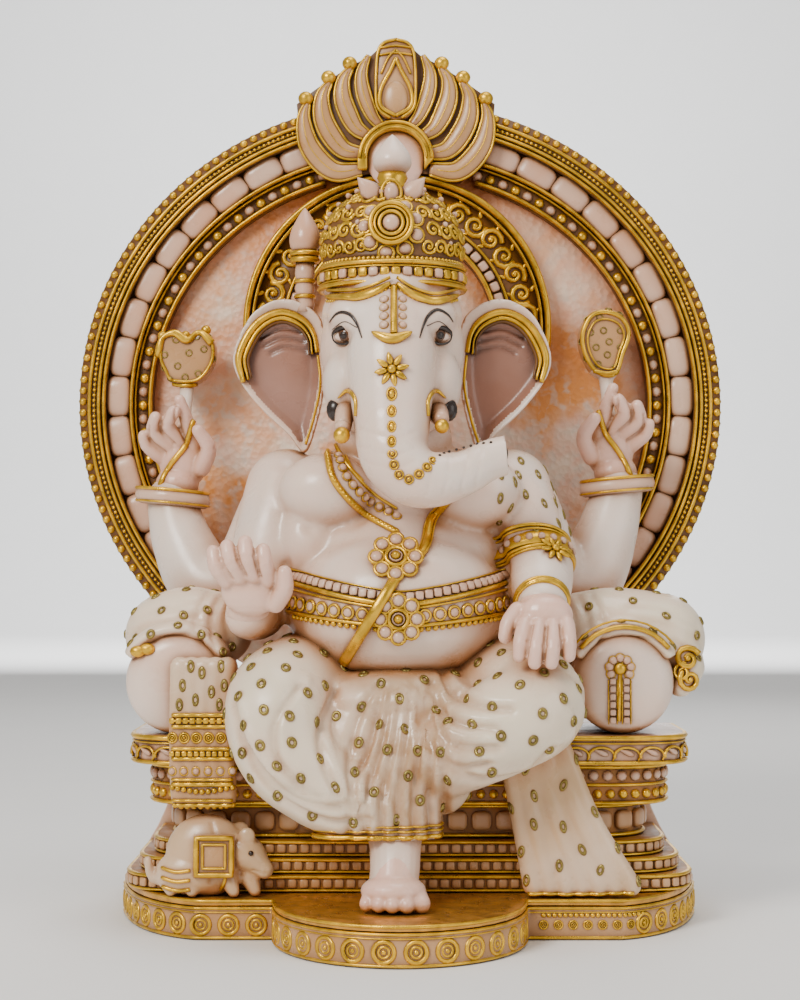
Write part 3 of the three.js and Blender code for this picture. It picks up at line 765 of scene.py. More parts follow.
def node_copy(name, bevel, segments=2):
    """A CAD node's shape as a drawing, with its facets merged and its edges eased."""
    bm = bmesh.new()
    bm.from_mesh(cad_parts[name].data)
    bmesh.ops.scale(bm, vec=(1 / MM,) * 3, verts=bm.verts)
    bmesh.ops.remove_doubles(bm, verts=bm.verts, dist=0.01)
    bmesh.ops.dissolve_limit(bm, angle_limit=radians(2), verts=bm.verts, edges=bm.edges)
    hard = [edge for edge in bm.edges if edge.is_manifold and edge.calc_face_angle(0) > radians(30)]
    ease(bm, hard, bevel, segments)
    return bm


# ---- outlines shared with the frame

LOBE_HALF_WIDTH, LOBE_REACH = 80, 89
PLINTH_CORNER_RUN, PLINTH_CORNER_Y = 60, 42
THRONE_CORNER = 42

OVAL_HALF_WIDTH, OVAL_HALF_HEIGHT, OVAL_TAPER = 228, 217, 0.02
OVAL_Z = SEAT + 226
ARM_START, ARM_END = 108, 232

GLORY_X, GLORY_Z = -2, SEAT + 276


def bend(start, corner, end, steps=10):
    """Points on a quadratic curve."""
    out = []
    for k in range(steps + 1):
        t = k / steps
        out.append(start * (1 - t) ** 2 + corner * 2 * t * (1 - t) + end * t**2)
    return out


def skirt(points, spacing):
    """An even route round a plan outline that runs from left to right past the front, facing outwards."""
    even = evenly(points, spacing)
    route = []
    for i, point in enumerate(even):
        along = even[min(i + 1, len(even) - 1)] - even[max(i - 1, 0)]
        route.append((point, along.cross(UP).normalized()))
    return route


def plinth_route(z, out=0, spacing=3, node="base_plinth"):
    """A route round the plinth's two wings and its lobe."""
    low, high = box_mm(node)
    left, right, back = low.x - out, high.x + out, high.y
    front = box_mm("base_plinth")[0].y + LOBE_REACH - out
    at = lambda x, y: vec(x, y, z)
    run = PLINTH_CORNER_RUN + out
    points = [at(left, back)]
    points += bend(at(left, PLINTH_CORNER_Y), at(left + 14, front + 20), at(left + run, front))
    half = LOBE_HALF_WIDTH + out
    for k in range(25):
        turn = pi + pi * k / 24
        points.append(at(half * cos(turn), front + LOBE_REACH * sin(turn)))
    points += bend(at(right - run, front), at(right - 14, front + 20), at(right, PLINTH_CORNER_Y))
    points.append(at(right, back))
    return skirt(points, spacing)


def course_route(node, z, spacing=4):
    """A route round the front of one of the throne's courses."""
    low, high = box_mm(node)
    at = lambda x, y: vec(x, y, z)
    left, right, front = low.x, high.x, low.y
    points = [at(left, high.y)]
    points += bend(at(left, front + THRONE_CORNER), at(left, front), at(left + THRONE_CORNER, front))
    points += bend(at(right - THRONE_CORNER, front), at(right, front), at(right, front + THRONE_CORNER))
    points.append(at(right, high.y))
    return skirt(points, spacing)


def oval_point(inset, angle, y):
    turn = radians(angle)
    swell = 1 - OVAL_TAPER * sin(turn)
    return vec(
        (OVAL_HALF_WIDTH * swell - inset) * cos(turn), y,
        OVAL_Z + (OVAL_HALF_HEIGHT * swell - inset) * sin(turn)
    )


def oval_route(inset, y, side, spacing=4, start=ARM_START, end=ARM_END):
    """A route down one arm of the halo, from the crest to the bolster."""
    steps = 90
    angles = [start + (end - start) * k / steps for k in range(steps + 1)]
    if side == "right":
        angles = [180 - angle for angle in angles]
    points = evenly([oval_point(inset, angle, y) for angle in angles], spacing)
    return [(point, FRONT) for point in points]


def glory_route(radius, y, spacing=4, start=-22, end=202):
    points = []
    for k in range(91):
        turn = radians(start + (end - start) * k / 90)
        points.append(vec(GLORY_X + radius * cos(turn), y, GLORY_Z + radius * sin(turn)))
    return [(point, FRONT) for point in evenly(points, spacing)]


def strap(bm, route, half_width, half_height):
    """A flat band along a route."""
    frames = []
    for i, (point, normal) in enumerate(route):
        along = (route[min(i + 1, len(route) - 1)][0] - route[max(i - 1, 0)][0]).normalized()
        side = along.cross(normal).normalized()
        wide, high = side * half_width, side.cross(along) * half_height
        frames.append(axes_matrix(point, wide + high, high - wide, along))
    loft(bm, frames, 4)


# ---- plinth and throne


def make_plinth(context):
    sizes = context.scene.idol_sizes
    low, high = box_mm("base_plinth")
    body = node_copy("base_plinth", 1.6)
    body.normal_update()
    for vert in body.verts:
        vert.co -= vec(vert.normal.x, vert.normal.y, 0).normalized() * 1.3
    finish_piece(body, "plinth_body", "white_marble", "lotus", "base_plinth", crisp=True)
    ledge = node_copy("plinth_ledge", 0.8)
    finish_piece(ledge, "plinth_floor", "gilding", "stage_gold", "plinth_ledge", crisp=True)

    bm = bmesh.new()
    inner = -1.8
    for z, width in ((high.z - 1.2, 1.1), (high.z - 3.6, 0.6), (1.6, 1.2)):
        wire(bm, plinth_route(z, inner), width, 1.5)
    wire(bm, plinth_route(PLINTH_TOP - 1, -1.6, node="plinth_ledge"), 1.2, 1.4)
    big = sizes.rosette / MM
    route = plinth_route(high.z * 0.46, -1.5, 1.5)
    lobe = [
        stop
        for stop in route
        if abs(stop[0].x) < LOBE_HALF_WIDTH - 1 and stop[0].y < low.y + LOBE_REACH - 6
    ]
    string(bm, lobe, 19, big * 0.94, "rosette", 3)
    for sign in (-1, 1):
        edge = LOBE_HALF_WIDTH + 8
        wing = [stop for stop in route if stop[0].x * sign > edge and stop[0].y < high.y - 10]
        if sign > 0:
            small = [stop for stop in wing if stop[0].x < 152 and stop[0].y < -30]
            string(bm, small, 8.6, 3.2, "rosette", 3)
            rope = [(point + UP * 6, way) for point, way in small]
            string(bm, rope, 3.4, 1.7, "bead", 1.6)
            wing = [stop for stop in wing if stop not in small]
        string(bm, wing, 17.4, big * 0.88, "rosette", 3)
    gild(bm, "plinth_gilding")


class IDOL_OT_plinth(bpy.types.Operator):
    """Carve the lobed plinth with its rosette frieze and gilded ledge"""

    bl_idname = "idol.plinth"
    bl_label = "Plinth"

    def execute(self, context):
        make_plinth(context)
        return {"FINISHED"}


def make_throne():
    for node in (
        "throne_foot", "throne_lower_step", "throne_upper_step", "throne_waist", "throne_bead_course"
    ):
        dress(node, node + "_block", "gilded_marble", "ochre", 1.2)
    dress("throne_cap", "throne_cap_block", "gilded_marble", "petal", 1.2)
    dress("throne_back", "throne_back_block", "white_marble", "marble", 3, 3)

    gold, pale, tan = drawings(3)

    def mouldings(node, *rows):
        for z, width, height in rows:
            wire(gold, course_route(node, z), width, height)

    for node in ("throne_foot", "throne_lower_step", "throne_upper_step"):
        low, high = box_mm(node)
        mouldings(node, (high.z - 1.3, 1.3, 1.9), (low.z + 1.2, 1, 1.4))
        string(tan, course_route(node, (low.z + high.z) / 2), 7.4, 2.9, "block", 1.9)
    low, high = box_mm("throne_waist")
    mouldings("throne_waist", (low.z + 1.6, 1.5, 2.4), (high.z - 1.6, 1.5, 2.4))
    for place, normal in course_route("throne_waist", (low.z + high.z) / 2, spacing=15.5):
        stud(tan, "pillow", place, normal, (6.4, 6.2, 3.2))
    low, high = box_mm("throne_bead_course")
    middle = (low.z + high.z) / 2
    mouldings("throne_bead_course", (high.z - 1.6, 1.6, 2.6), (middle, 1.1, 1.8), (low.z + 1.4, 1.4, 2.2))
    string(pale, course_route("throne_bead_course", middle + 5.8), 9, 3.6, "bead", 2.4)
    string(gold, course_route("throne_bead_course", middle - 5.9), 8.2, 3.2, "bead", 2.2)

    low, high = box_mm("throne_cap")
    middle = (low.z + high.z) / 2
    mouldings("throne_cap", (high.z - 1.8, 1.9, 2.4), (high.z - 5, 0.7, 1.4), (low.z + 1.6, 1.5, 2.2))
    frieze = course_route("throne_cap", middle - 1.2, spacing=16)
    for place, normal in frieze:
        face = facing(place, normal)
        stamp(
            pale, "teardrop",
            face @ Matrix.Rotation(radians(68), 4, "Z") @ Matrix.Diagonal((3.6, 5.6, 5, 1))
        )
        arc = []
        for k in range(11):
            share = k / 10
            turn = pi * (1.08 - 1.25 * share)
            arc.append((face @ vec(8.2 * cos(turn), 5.4 * sin(turn) - 2.2, 0.5), normal))
        wire(gold, arc, lambda s: 1.15 - 0.5 * s, 1.2, 5)
    gild(gold, "throne_gilding")
    pearl_work(pale, "throne_beading")
    # The blocks take the dark lotus tan: partly their own tan and partly painted shade for the deep shadow
    # on the throne's lower courses.
    finish_piece(tan, "throne_blocks", "rose_marble", "lotus")


class IDOL_OT_throne(bpy.types.Operator):
    """Carve the throne's moulded courses, their beading and the block behind"""

    bl_idname = "idol.throne"
    bl_label = "Throne"

    def execute(self, context):
        make_throne()
        return {"FINISHED"}


# ---- halo, aureole and crest


def make_halo(context):
    sizes = context.scene.idol_sizes
    field = node_copy("halo_slab", 2)
    paint(field, lambda face: face.normal.y < -0.9)
    finish_piece(field, "halo_field", "rose_marble", "marble panel", "halo_slab", crisp=True)
    top = HALO_FRONT
    for side in ("left", "right"):
        rim = bmesh.new()
        strap(rim, oval_route(10.6, top - 8.3, side), 9.2, 7.8)
        paint_faces(rim, 0, 1)
        start = len(rim.faces)
        bead = sizes.bead / MM
        string(rim, oval_route(bead + 0.25, top - 13, side), bead * 2.15, bead, "bead", 5.6)
        for inset, width, height, y in (
            (8.4, 1.5, 2.2, 16.6), (15, 1.4, 2.4, 17), (18.6, 1.3, 2.6, 17.6), (11.9, 0.5, 0.8, 16.3)
        ):
            wire(rim, oval_route(inset, top - y, side), width, height)
        string(rim, oval_route(11.7, top - 17, side), 3.7, 1.45, "bead", 1.7)
        paint_faces(rim, start, 0)
        carved(rim, f"halo_rim_{side}", "gilding", "gold umber")

        petals = bmesh.new()
        strap(petals, oval_route(28.2, top - 4.6, side), 8, 4.2)
        paint_faces(petals, 0, 1)
        start = len(petals.faces)
        fine = oval_route(28.3, top - 8.4, side, 1, ARM_START + 3.4, ARM_END - 2)
        places = evenly([point for point, _ in fine], 1, count=sizes.petals)
        pitch = (places[1] - places[0]).length
        for place in places:
            away = vec(place.x, 0, place.z - OVAL_Z).normalized()
            size = Matrix.Diagonal((pitch * 0.508, 9, 6.8, 1))
            stamp(petals, "pillow", facing(place, FRONT, up=away) @ size)
        paint_faces(petals, start, 0)
        carved(petals, f"halo_petals_{side}", "white_marble", "petal umber")

        inner = bmesh.new()
        strap(inner, oval_route(44.8, top - 3.6, side), 7.6, 3.4)
        paint_faces(inner, 0, 1)
        start = len(inner.faces)
        for inset, width, height, y in ((37.6, 1.3, 3, 13.4), (40, 0.8, 2.4, 9), (50.6, 1.5, 3, 10)):
            wire(inner, oval_route(inset, top - y, side), width, height)
        beads = oval_route(45.3, top - 7.4, side, 1)
        string(inner, beads, 9.6, 3.9, "bead", 3.4, skip=lambda i: i % 2 == 0)
        paint_faces(inner, start, 0)
        start = len(inner.faces)
        string(inner, beads, 9.6, 3.9, "bead", 3.6, skip=lambda i: i % 2 == 1)
        paint_faces(inner, start, 2)
        carved(inner, f"halo_beads_{side}", "gilding", "gold umber petal")


class IDOL_OT_halo(bpy.types.Operator):
    """Carve the oval halo: its field, beaded rim, petals and inner beads"""

    bl_idname = "idol.halo"
    bl_label = "Halo"

    def execute(self, context):
        make_halo(context)
        return {"FINISHED"}


def make_aureole():
    top = HALO_FRONT
    rim = bmesh.new()
    wire(rim, glory_route(106.8, top - 12.6), 2.9, 12, 8)
    wire(rim, glory_route(102.2, top - 17), 1, 6)
    carved(rim, "aureole_rim", "gilding", "gold")

    band = bmesh.new()
    strap(band, glory_route(85.8, top - 7), 17.6, 6.4)
    paint_faces(band, 0, 1)
    start = len(band.faces)
    for radius, width, height, y in ((80.2, 1.2, 3, 14.6), (69.8, 1.8, 4, 14)):
        wire(band, glory_route(radius, top - y), width, height)
    for i, (place, normal) in enumerate(glory_route(91.4, top - 13.6, 15.2)):
        away = vec(place.x - GLORY_X, 0, place.z - GLORY_Z).normalized()
        kind = "scroll" if i % 2 else "mirror_scroll"
        stud(band, kind, place, normal, 15, 13, up=away, turn=0.5)
        for reach, turn, tall in ((7.2, 0.7, 7), (-7.2, 2.4, 6)):
            stud(band, "petal", place + away * reach * 0.9, normal, tall, up=away, turn=turn)
    paint_faces(band, start, 0)
    start = len(band.faces)
    for place, normal in glory_route(75, top - 14, 8.4):
        away = vec(place.x - GLORY_X, 0, place.z - GLORY_Z).normalized()
        stud(band, "block", place, normal, (3.5, 3.4, 2.6), up=away)
    paint_faces(band, start, 2)
    carved(band, "aureole_band", "gilding", "gold umber petal")


class IDOL_OT_aureole(bpy.types.Operator):
    """Carve the round glory behind the head"""

    bl_idname = "idol.aureole"
    bl_label = "Aureole"

    def execute(self, context):
        make_aureole()
        return {"FINISHED"}


def make_crest():
    low, high = box_mm("crest_fan")
    middle = (low.x + high.x) / 2
    foot, y = low.z, low.y
    ground = node_copy("crest_fan", 3, 3)
    ground.normal_update()
    paint(ground, lambda face: face.normal.y > 0.2)
    finish_piece(ground, "crest_ground", "rose_marble", "umber marble", "crest_fan", crisp=True)

    petals, gold = drawings(2)
    # Each petal's spine, as (distance out, height above the crest's foot), and its half width.
    spines = (
        (((24, 5), (44, 4), (60, 20), (65, 40), (62, 53)), 7.6),
        (((24, 16), (38, 20), (50, 38), (52, 56), (46, 68)), 7.4),
        (((20, 29), (29, 36), (37, 54), (37, 68), (31, 78)), 6.6),
        (((11, 36), (17, 44), (23, 60), (24, 74), (19, 86)), 5.2)
    )
    for sign in (-1, 1):
        for spine, half in spines:
            curve = through([vec(middle + sign * x, y - 1, foot + z) for x, z in spine], 2.5)
            route = [(point, FRONT) for point in curve]
            swell = lambda s, half=half: max(0.6, half * sin(pi * (0.16 + 0.8 * s)) ** 0.8)
            wire(petals, route, swell, 4.2, 10)
            edges = ([], [])
            for i, point in enumerate(curve):
                along = (curve[min(i + 1, len(curve) - 1)] - curve[max(i - 1, 0)]).normalized()
                side = along.cross(FRONT)
                share = i / (len(curve) - 1)
                for rim, hand in zip(edges, (-1, 1)):
                    rim.append((point + side * hand * swell(share) * 0.93 + FRONT * 1.6, FRONT))
            for rim in edges:
                wire(gold, rim, 1.05, 1.5, 5)
            wire(gold, [(point + FRONT * 3.7, FRONT) for point in curve[2:-2]], 0.6, 0.9, 4)
            if half > 6:
                ball(gold, curve[-1] + vec(sign * 1.5, -1.5, 2.4), (5.4, 5, 5), 16)
    finish_piece(petals, "crest_petals", "rose_marble", "lotus")

    leaf_low, leaf_high = box_mm("crest_leaf")
    body = node_copy("crest_leaf", 1.6, 3)
    ball(body, (middle, leaf_low.y + 1.5, leaf_low.z + 15), (9.5, 4, 14), 24)
    finish_piece(body, "crest_centre_leaf", "rose_marble", "lotus", "crest_leaf", crisp=True)
    centre, face = (leaf_low.x + leaf_high.x) / 2, leaf_low.y - 0.4
    half = (leaf_high.x - leaf_low.x) / 2

    def outline(points, width=1.2, height=1.7):
        curve = through([vec(centre + x, face, z) for x, z in points], 2)
        wire(gold, [(point, FRONT) for point in curve], width, height)

    for hand in (-1, 1):
        edge = hand * (half - 1)
        outline(
            (
                (hand * 4, leaf_low.z + 1.5), (edge * 0.9, leaf_low.z + 9), (edge, leaf_low.z + 24),
                (edge * 0.92, leaf_high.z - 12), (edge * 0.62, leaf_high.z - 4), (0, leaf_high.z - 1.4)
            )
        )
        bulb = leaf_low.z + 14
        outline(
            (
                (0, bulb - 11), (hand * 10.5, bulb - 4), (hand * 10.5, bulb + 8), (hand * 3.4, bulb + 22),
                (0, bulb + 30)
            ),
            1.6, 2.2
        )
        outline(((hand * 10.5, leaf_low.z + 33), (hand * 5.5, leaf_low.z + 44), (0, leaf_low.z + 50)), 0.8)
    for z in (leaf_high.z - 7.5, leaf_high.z - 12.5):
        outline(((-half + 3.4, z), (0, z + 1.6), (half - 3.4, z)), 0.8)

    arch_low, arch_high = box_mm("crest_medallion")
    dress("crest_medallion", "crest_arch", "gilding", "gold", 1.4, 2)
    centre = vec((arch_low.x + arch_high.x) / 2, arch_low.y, arch_low.z + 8)
    for radius, width, rise in ((25.4, 1.3, 0.6), (21.5, 0.9, 0.6)):
        arc = [
            (centre + vec(radius * cos(t), -rise, radius * sin(t)), FRONT)
            for t in (pi * k / 24 for k in range(25))
        ]
        wire(gold, arc, width, 1.4)
    gild(gold, "crest_gilding")
    disc = bmesh.new()
    ball(disc, (centre.x, y - 1.5, centre.z), (20.6, 5, 20.6), 28)
    finish_piece(disc, "crest_boss", "rose_marble", "blush")


class IDOL_OT_crest(bpy.types.Operator):
    """Carve the lotus crest on top of the halo"""

    bl_idname = "idol.crest"
    bl_label = "Crest"

    def execute(self, context):
        make_crest()
        return {"FINISHED"}


# ---- the figure

SKINS = {}
FACE_X = (HEAD_LOW.x + HEAD_HIGH.x) / 2


def seat(x, y, z):
    """A point given by its height over the seat."""
    return vec(x, y, SEAT + z)


def seated(*stations):
    """Limb stations given by their heights over the seat."""
    return [(x, y, SEAT + z, r) for x, y, z, r in stations]


def girdle(skin, centre, axis, radius, rise=0, steps=40):
    """A ring route round a limb, which stays inside the body where the limb joins it."""
    centre, axis = Vector(centre), Vector(axis).normalized()
    side = axis.cross(FRONT)
    side = side.normalized() if side.length > 0.1 else axis.cross(UP).normalized()
    out, route = side.cross(axis), []
    for k in range(steps):
        way = side * cos(tau * k / steps) + out * sin(tau * k / steps)
        hit = skin.tree.ray_cast(centre, way, radius * 1.4)[0]
        route.append(((hit or centre + way * radius) + way * rise, way))
    return route


def turned(bm, centre, profile, axis="Z", steps=24):
    """A turned shape from (radius, height) points that start and end on its axis."""
    def draw(lathe):
        verts = [lathe.verts.new((r, 0, h)) for r, h in profile]
        edges = [lathe.edges.new(pair) for pair in zip(verts, verts[1:])]
        bmesh.ops.spin(
            lathe, geom=verts + edges, cent=(0, 0, 0), axis=(0, 0, 1), angle=tau, steps=steps,
            use_merge=True
        )
        bmesh.ops.remove_doubles(lathe, verts=lathe.verts, dist=0.02)

    shape = template(draw)
    stand = Matrix.Rotation(radians(90), 4, "X") if axis == "Y" else Matrix.Identity(4)
    add_copy(bm, shape, Matrix.Translation(centre) @ stand)
    bpy.data.meshes.remove(shape)


def slab(bm, outline, front, back, spacing=3):
    """A plate cut to a smooth (x, z) outline."""
    ring = [vec(x, back, z) for x, z in outline]
    curve = evenly(ring, spacing, closed=True)
    face = bm.faces.new([bm.verts.new(point) for point in curve])
    made = bmesh.ops.extrude_face_region(bm, geom=[face])["geom"]
    bmesh.ops.translate(bm, vec=(0, front - back, 0), verts=only(made, bmesh.types.BMVert))


def rounded(outline):
    """A closed (x, z) outline run through smoothly."""
    ring = [vec(x, 0, z) for x, z in outline]
    ends = ring[-2:] + ring + ring[:2]
    fine = through(ends, None, 20 * (len(ends) - 1) + 1)
    return [(point.x, point.z) for point in fine[40:-20:5]]


def scatter(bm, spacing, seed, keep):
    """Places spread over a surface, each at least a spacing from the next."""
    rng = random.Random(seed)
    faces = list(bm.faces)
    rng.shuffle(faces)
    spots, chosen = np.empty((0, 3)), []
    for face in faces:
        point, normal = face.calc_center_median(), face.normal
        if not keep(point, normal):
            continue
        if len(spots) and np.min(np.sum((spots - np.array(point)) ** 2, axis=1)) < spacing**2:
            continue
        spots = np.vstack((spots, np.array(point)))
        chosen.append((point.copy(), normal.copy()))
    return chosen


def rosette_flower(gold, pale, point, normal, size):
    """A jewelled flower: pale petals in gold rings round a double-ringed eye."""
    face = facing(point, normal)
    for k in range(8):
        angle = tau * k / 8
        way = vec(cos(angle), sin(angle), 0)
        spot = face @ (way * size * 0.68)
        stud(gold, "rings", spot, normal, size * 0.34, size * 0.3)
        stud(pale, "bead", spot, normal, size * 0.24, size * 0.16)
    stud(gold, "rings", point, normal, size * 0.46, size * 0.62)
    stud(gold, "bead", point, normal, size * 0.19, size * 0.3)
    stud(pale, "rings", point, normal, size * 0.27, size * 0.66)
    plate = facing(point - normal * size * 0.13, normal) @ Matrix.Diagonal(
        (size * 0.86, size * 0.86, size * 0.15, 1)
    )
    globe(gold, plate, 24, 8)


def make_body():
    bm = bmesh.new()
    masses = (
        ((-1, -28, 82), (73, 66, 52)), ((-2, 2, 36), (92, 50, 44)), ((-1, -4, 148), (78, 44, 42)),
        ((-47, -40, 155), (30, 25, 24)), ((47, -40, 155), (30, 25, 24)), ((-4, -16, 190), (38, 30, 30)),
        ((-1, -18, 114), (74, 46, 36)), ((-58, -30, 122), (23, 25, 30))
    )
    for centre, radii in masses:
        ball(bm, seat(*centre), radii, 32)
    limb(
        bm, *seated((-74, -8, 157, 27), (-84, -24, 118, 25), (-90, -34, 80, 20), (-95, -58, 76, 15)),
        sides=24
    )
    limb(
        bm, *seated((72, -8, 157, 27), (80, -24, 130, 25), (88, -40, 105, 22), (88, -74, 84, 16)), sides=24
    )
    limb(
        bm,
        *seated(
            (-82, 16, 146, 24), (-104, 36, 100, 25), (-130, 44, 94, 25), (-148, 52, 122, 22),
            (-157, 57, 152, 17)
        ),
        sides=24
    )
    limb(
        bm,
        *seated(
            (82, 16, 146, 24), (102, 36, 100, 25), (124, 44, 95, 25), (140, 52, 126, 22), (150, 57, 160, 17)
        ),
        sides=24
    )
    melt(bm, 2.1, 7)
    folds = (
        ([(-74, -30, 260), (-48, -62, 255), (-24, -52, 262)], 3.4, 1.8),
        ([(74, -30, 260), (48, -62, 255), (24, -52, 262)], 3.4, 1.8),
        ([(-60, -58, 178), (-30, -84, 172), (0, -92, 170), (30, -84, 172), (60, -58, 178)], 3.5, 1.6),
        ([(-64, -34, 270), (-68, -44, 246), (-76, -48, 216)], 3.2, 2.6),
        ([(60, -34, 266), (64, -46, 242), (68, -52, 222)], 3.6, 3),
        ([(-106, 0, 262), (-110, 4, 238), (-108, 2, 214)], 4, 2.4),
        ([(102, 0, 262), (108, 4, 240), (108, 2, 214)], 4, 2.4)
    )
    for path, width, depth in folds:
        crease(bm, path, width, depth)
    SKINS["body"] = Skin(bm)
    finish_piece(
        bm, "body", "white_marble", "marble", "torso", "front_arm_left", "front_arm_right", "rear_arm_left",
        "rear_arm_right"
    )


class IDOL_OT_body(bpy.types.Operator):
    """Carve the torso and the four arms as one body"""

    bl_idname = "idol.body"
    bl_label = "Body and Arms"

    def execute(self, context):
        make_body()
        return {"FINISHED"}


def body_copy():
    bm = bmesh.new()
    bm.from_mesh(bpy.data.objects["body"].data)
    bmesh.ops.scale(bm, vec=(1 / MM,) * 3, verts=bm.verts)
    bm.normal_update()
    return bm


def make_jewellery():
    skin = SKINS["body"]
    gold, pale, ring = drawings(3)
    lay = skin.lay
    rope = lay([(-47, 308), (-41, 286), (-24, 267), (-2, 254)], 1.5, 0.6)
    wire(gold, rope, 2.3, 1.8, 8)
    string(gold, rope, 3, 1.7, "bead", 2.6)
    wire(gold, lay([(-42, 313), (-34, 297), (-24, 286)], 2, 0.6), 1.5, 1.5)
    inner = lay([(-39, 302), (-33, 288), (-20, 274.5), (-2, 264)], 1.5, 0.6)
    string(pale, inner, 6.3, 2.7, "bead", 2.6)
    string(gold, inner, 6.3, 3.4, "rings", 1.8)
    wire(gold, lay([(-35, 303), (-29, 291), (-18, 279.5), (-2, 269)], 2, 0.5), 1, 1.4)
    band = lay([(36, 290), (33, 278), (20, 262), (15, 244), (2, 229)], 1.5, 0.8)
    wire(gold, band, 3, 1.5, 8)
    for shift in (-3, 3):
        wire(gold, [(p + vec(shift, 0, 0), n) for p, n in band], 0.7, 1.9, 5)

    spot = skin.front(-2.5, 237)
    place, normal = spot[0] + spot[1] * 2.4, (spot[1] + FRONT * 0.4).normalized()
    rosette_flower(gold, pale, place, normal, 17.5)
    for level, drop, kind, size, every in (
        (213.5, 12.5, "block", 2.7, 5.9), (201.5, 8, "rosette", 4.6, 9.4)
    ):
        route = lay(
            [(x, level + drop * (abs(x) / 66) ** 1.4) for x in (-70, -46, -22, 0, 22, 44, 66)], 1.5, 0.8
        )
        string(pale if kind == "block" else gold, route, every, size, kind, 2.6)
        if kind == "rosette":
            string(pale, route, every, 3.3, "bead", 1.7)
    for level, drop, width, height in (
        (209, 12.5, 1.9, 2.3), (206.6, 11, 0.9, 1.6), (196, 7.5, 1.3, 1.9), (217.2, 13, 0.6, 1)
    ):
        route = lay(
            [(x, level + drop * (abs(x) / 66) ** 1.4) for x in (-71, -46, -22, 0, 22, 44, 67)], 2, 0.5
        )
        wire(gold, route, width, height)
    scallop = lay(
        [(x, 193.6 + 7.5 * (abs(x) / 66) ** 1.4) for x in (-66, -44, -22, 0, 22, 44, 64)], 1.5, 0.3
    )
    string(gold, scallop, 4.6, 2.1, "bead", 1.8)
    spot = skin.front(-1, 200.5)
    rosette_flower(gold, pale, spot[0] + FRONT * 2, (spot[1] + FRONT * 2).normalized(), 16.5)

    thread = []
    for share in (k / 24 for k in range(25)):
        hit = skin.front(-35.5 * share, 230 - 58 * share)
        over = 5.2 * sin(pi * min(1, max(0, share * 1.1 - 0.1))) ** 0.5
        thread.append((hit[0] + FRONT * (0.6 + over), (hit[1] + FRONT * 2).normalized()))
    wire(gold, thread, 3.5, 1.7, 8)

    elbow, axis, radius = vec(85, -34, 238), vec(0.06, -0.55, -0.82), 26
    for step, width, height in (
        (-8.5, 1.3, 2), (-6, 0.7, 1.2), (0, 5.6, 1.1), (6.4, 1.3, 2), (8.4, 0.9, 1.4)
    ):
        middle = elbow + axis.normalized() * step
        wire(gold, girdle(skin, middle, axis, radius, 0.4), width, height, closed=True)
    loop = girdle(skin, elbow, axis, radius, 1.6)
    string(pale, loop + loop[:1], 8, 2.7, "bead", 2)
    spot = skin.front(97, 243)
    stud(gold, "flower", spot[0] + spot[1] * 1.5, spot[1], 11, 8)

    def on_sleeve(point, normal):
        inside = point.x > 62 and 246 < point.z < 306 and point.z < 330 - 0.35 * point.x
        return inside and normal.x > -0.2 and point.y < 20

    for point, normal in scatter(body_copy(), 12, 5, on_sleeve):
        stud(ring, "ring", point, normal, (2.4, 4, 2.2))
    wrist = vec(88, -78, SEAT + 84)
    for step, width in ((-3.2, 1.2), (0, 2.1), (3.2, 1.2)):
        wire(
            gold, girdle(skin, wrist + vec(0, 6 - step, step * 0.5), (0, -0.86, -0.5), 17, 0.3), width, 1.4,
            closed=True
        )
    gild(gold, "body_gilding")
    ring_work(ring, "sleeve_rings")
    pearl_work(pale, "body_pearls")


class IDOL_OT_jewellery(bpy.types.Operator):
    """Lay the necklace, pendant, jewelled belt, thread, sleeve and armlets on the body"""

    bl_idname = "idol.jewellery"
    bl_label = "Jewellery"

    def execute(self, context):
        make_jewellery()
        return {"FINISHED"}


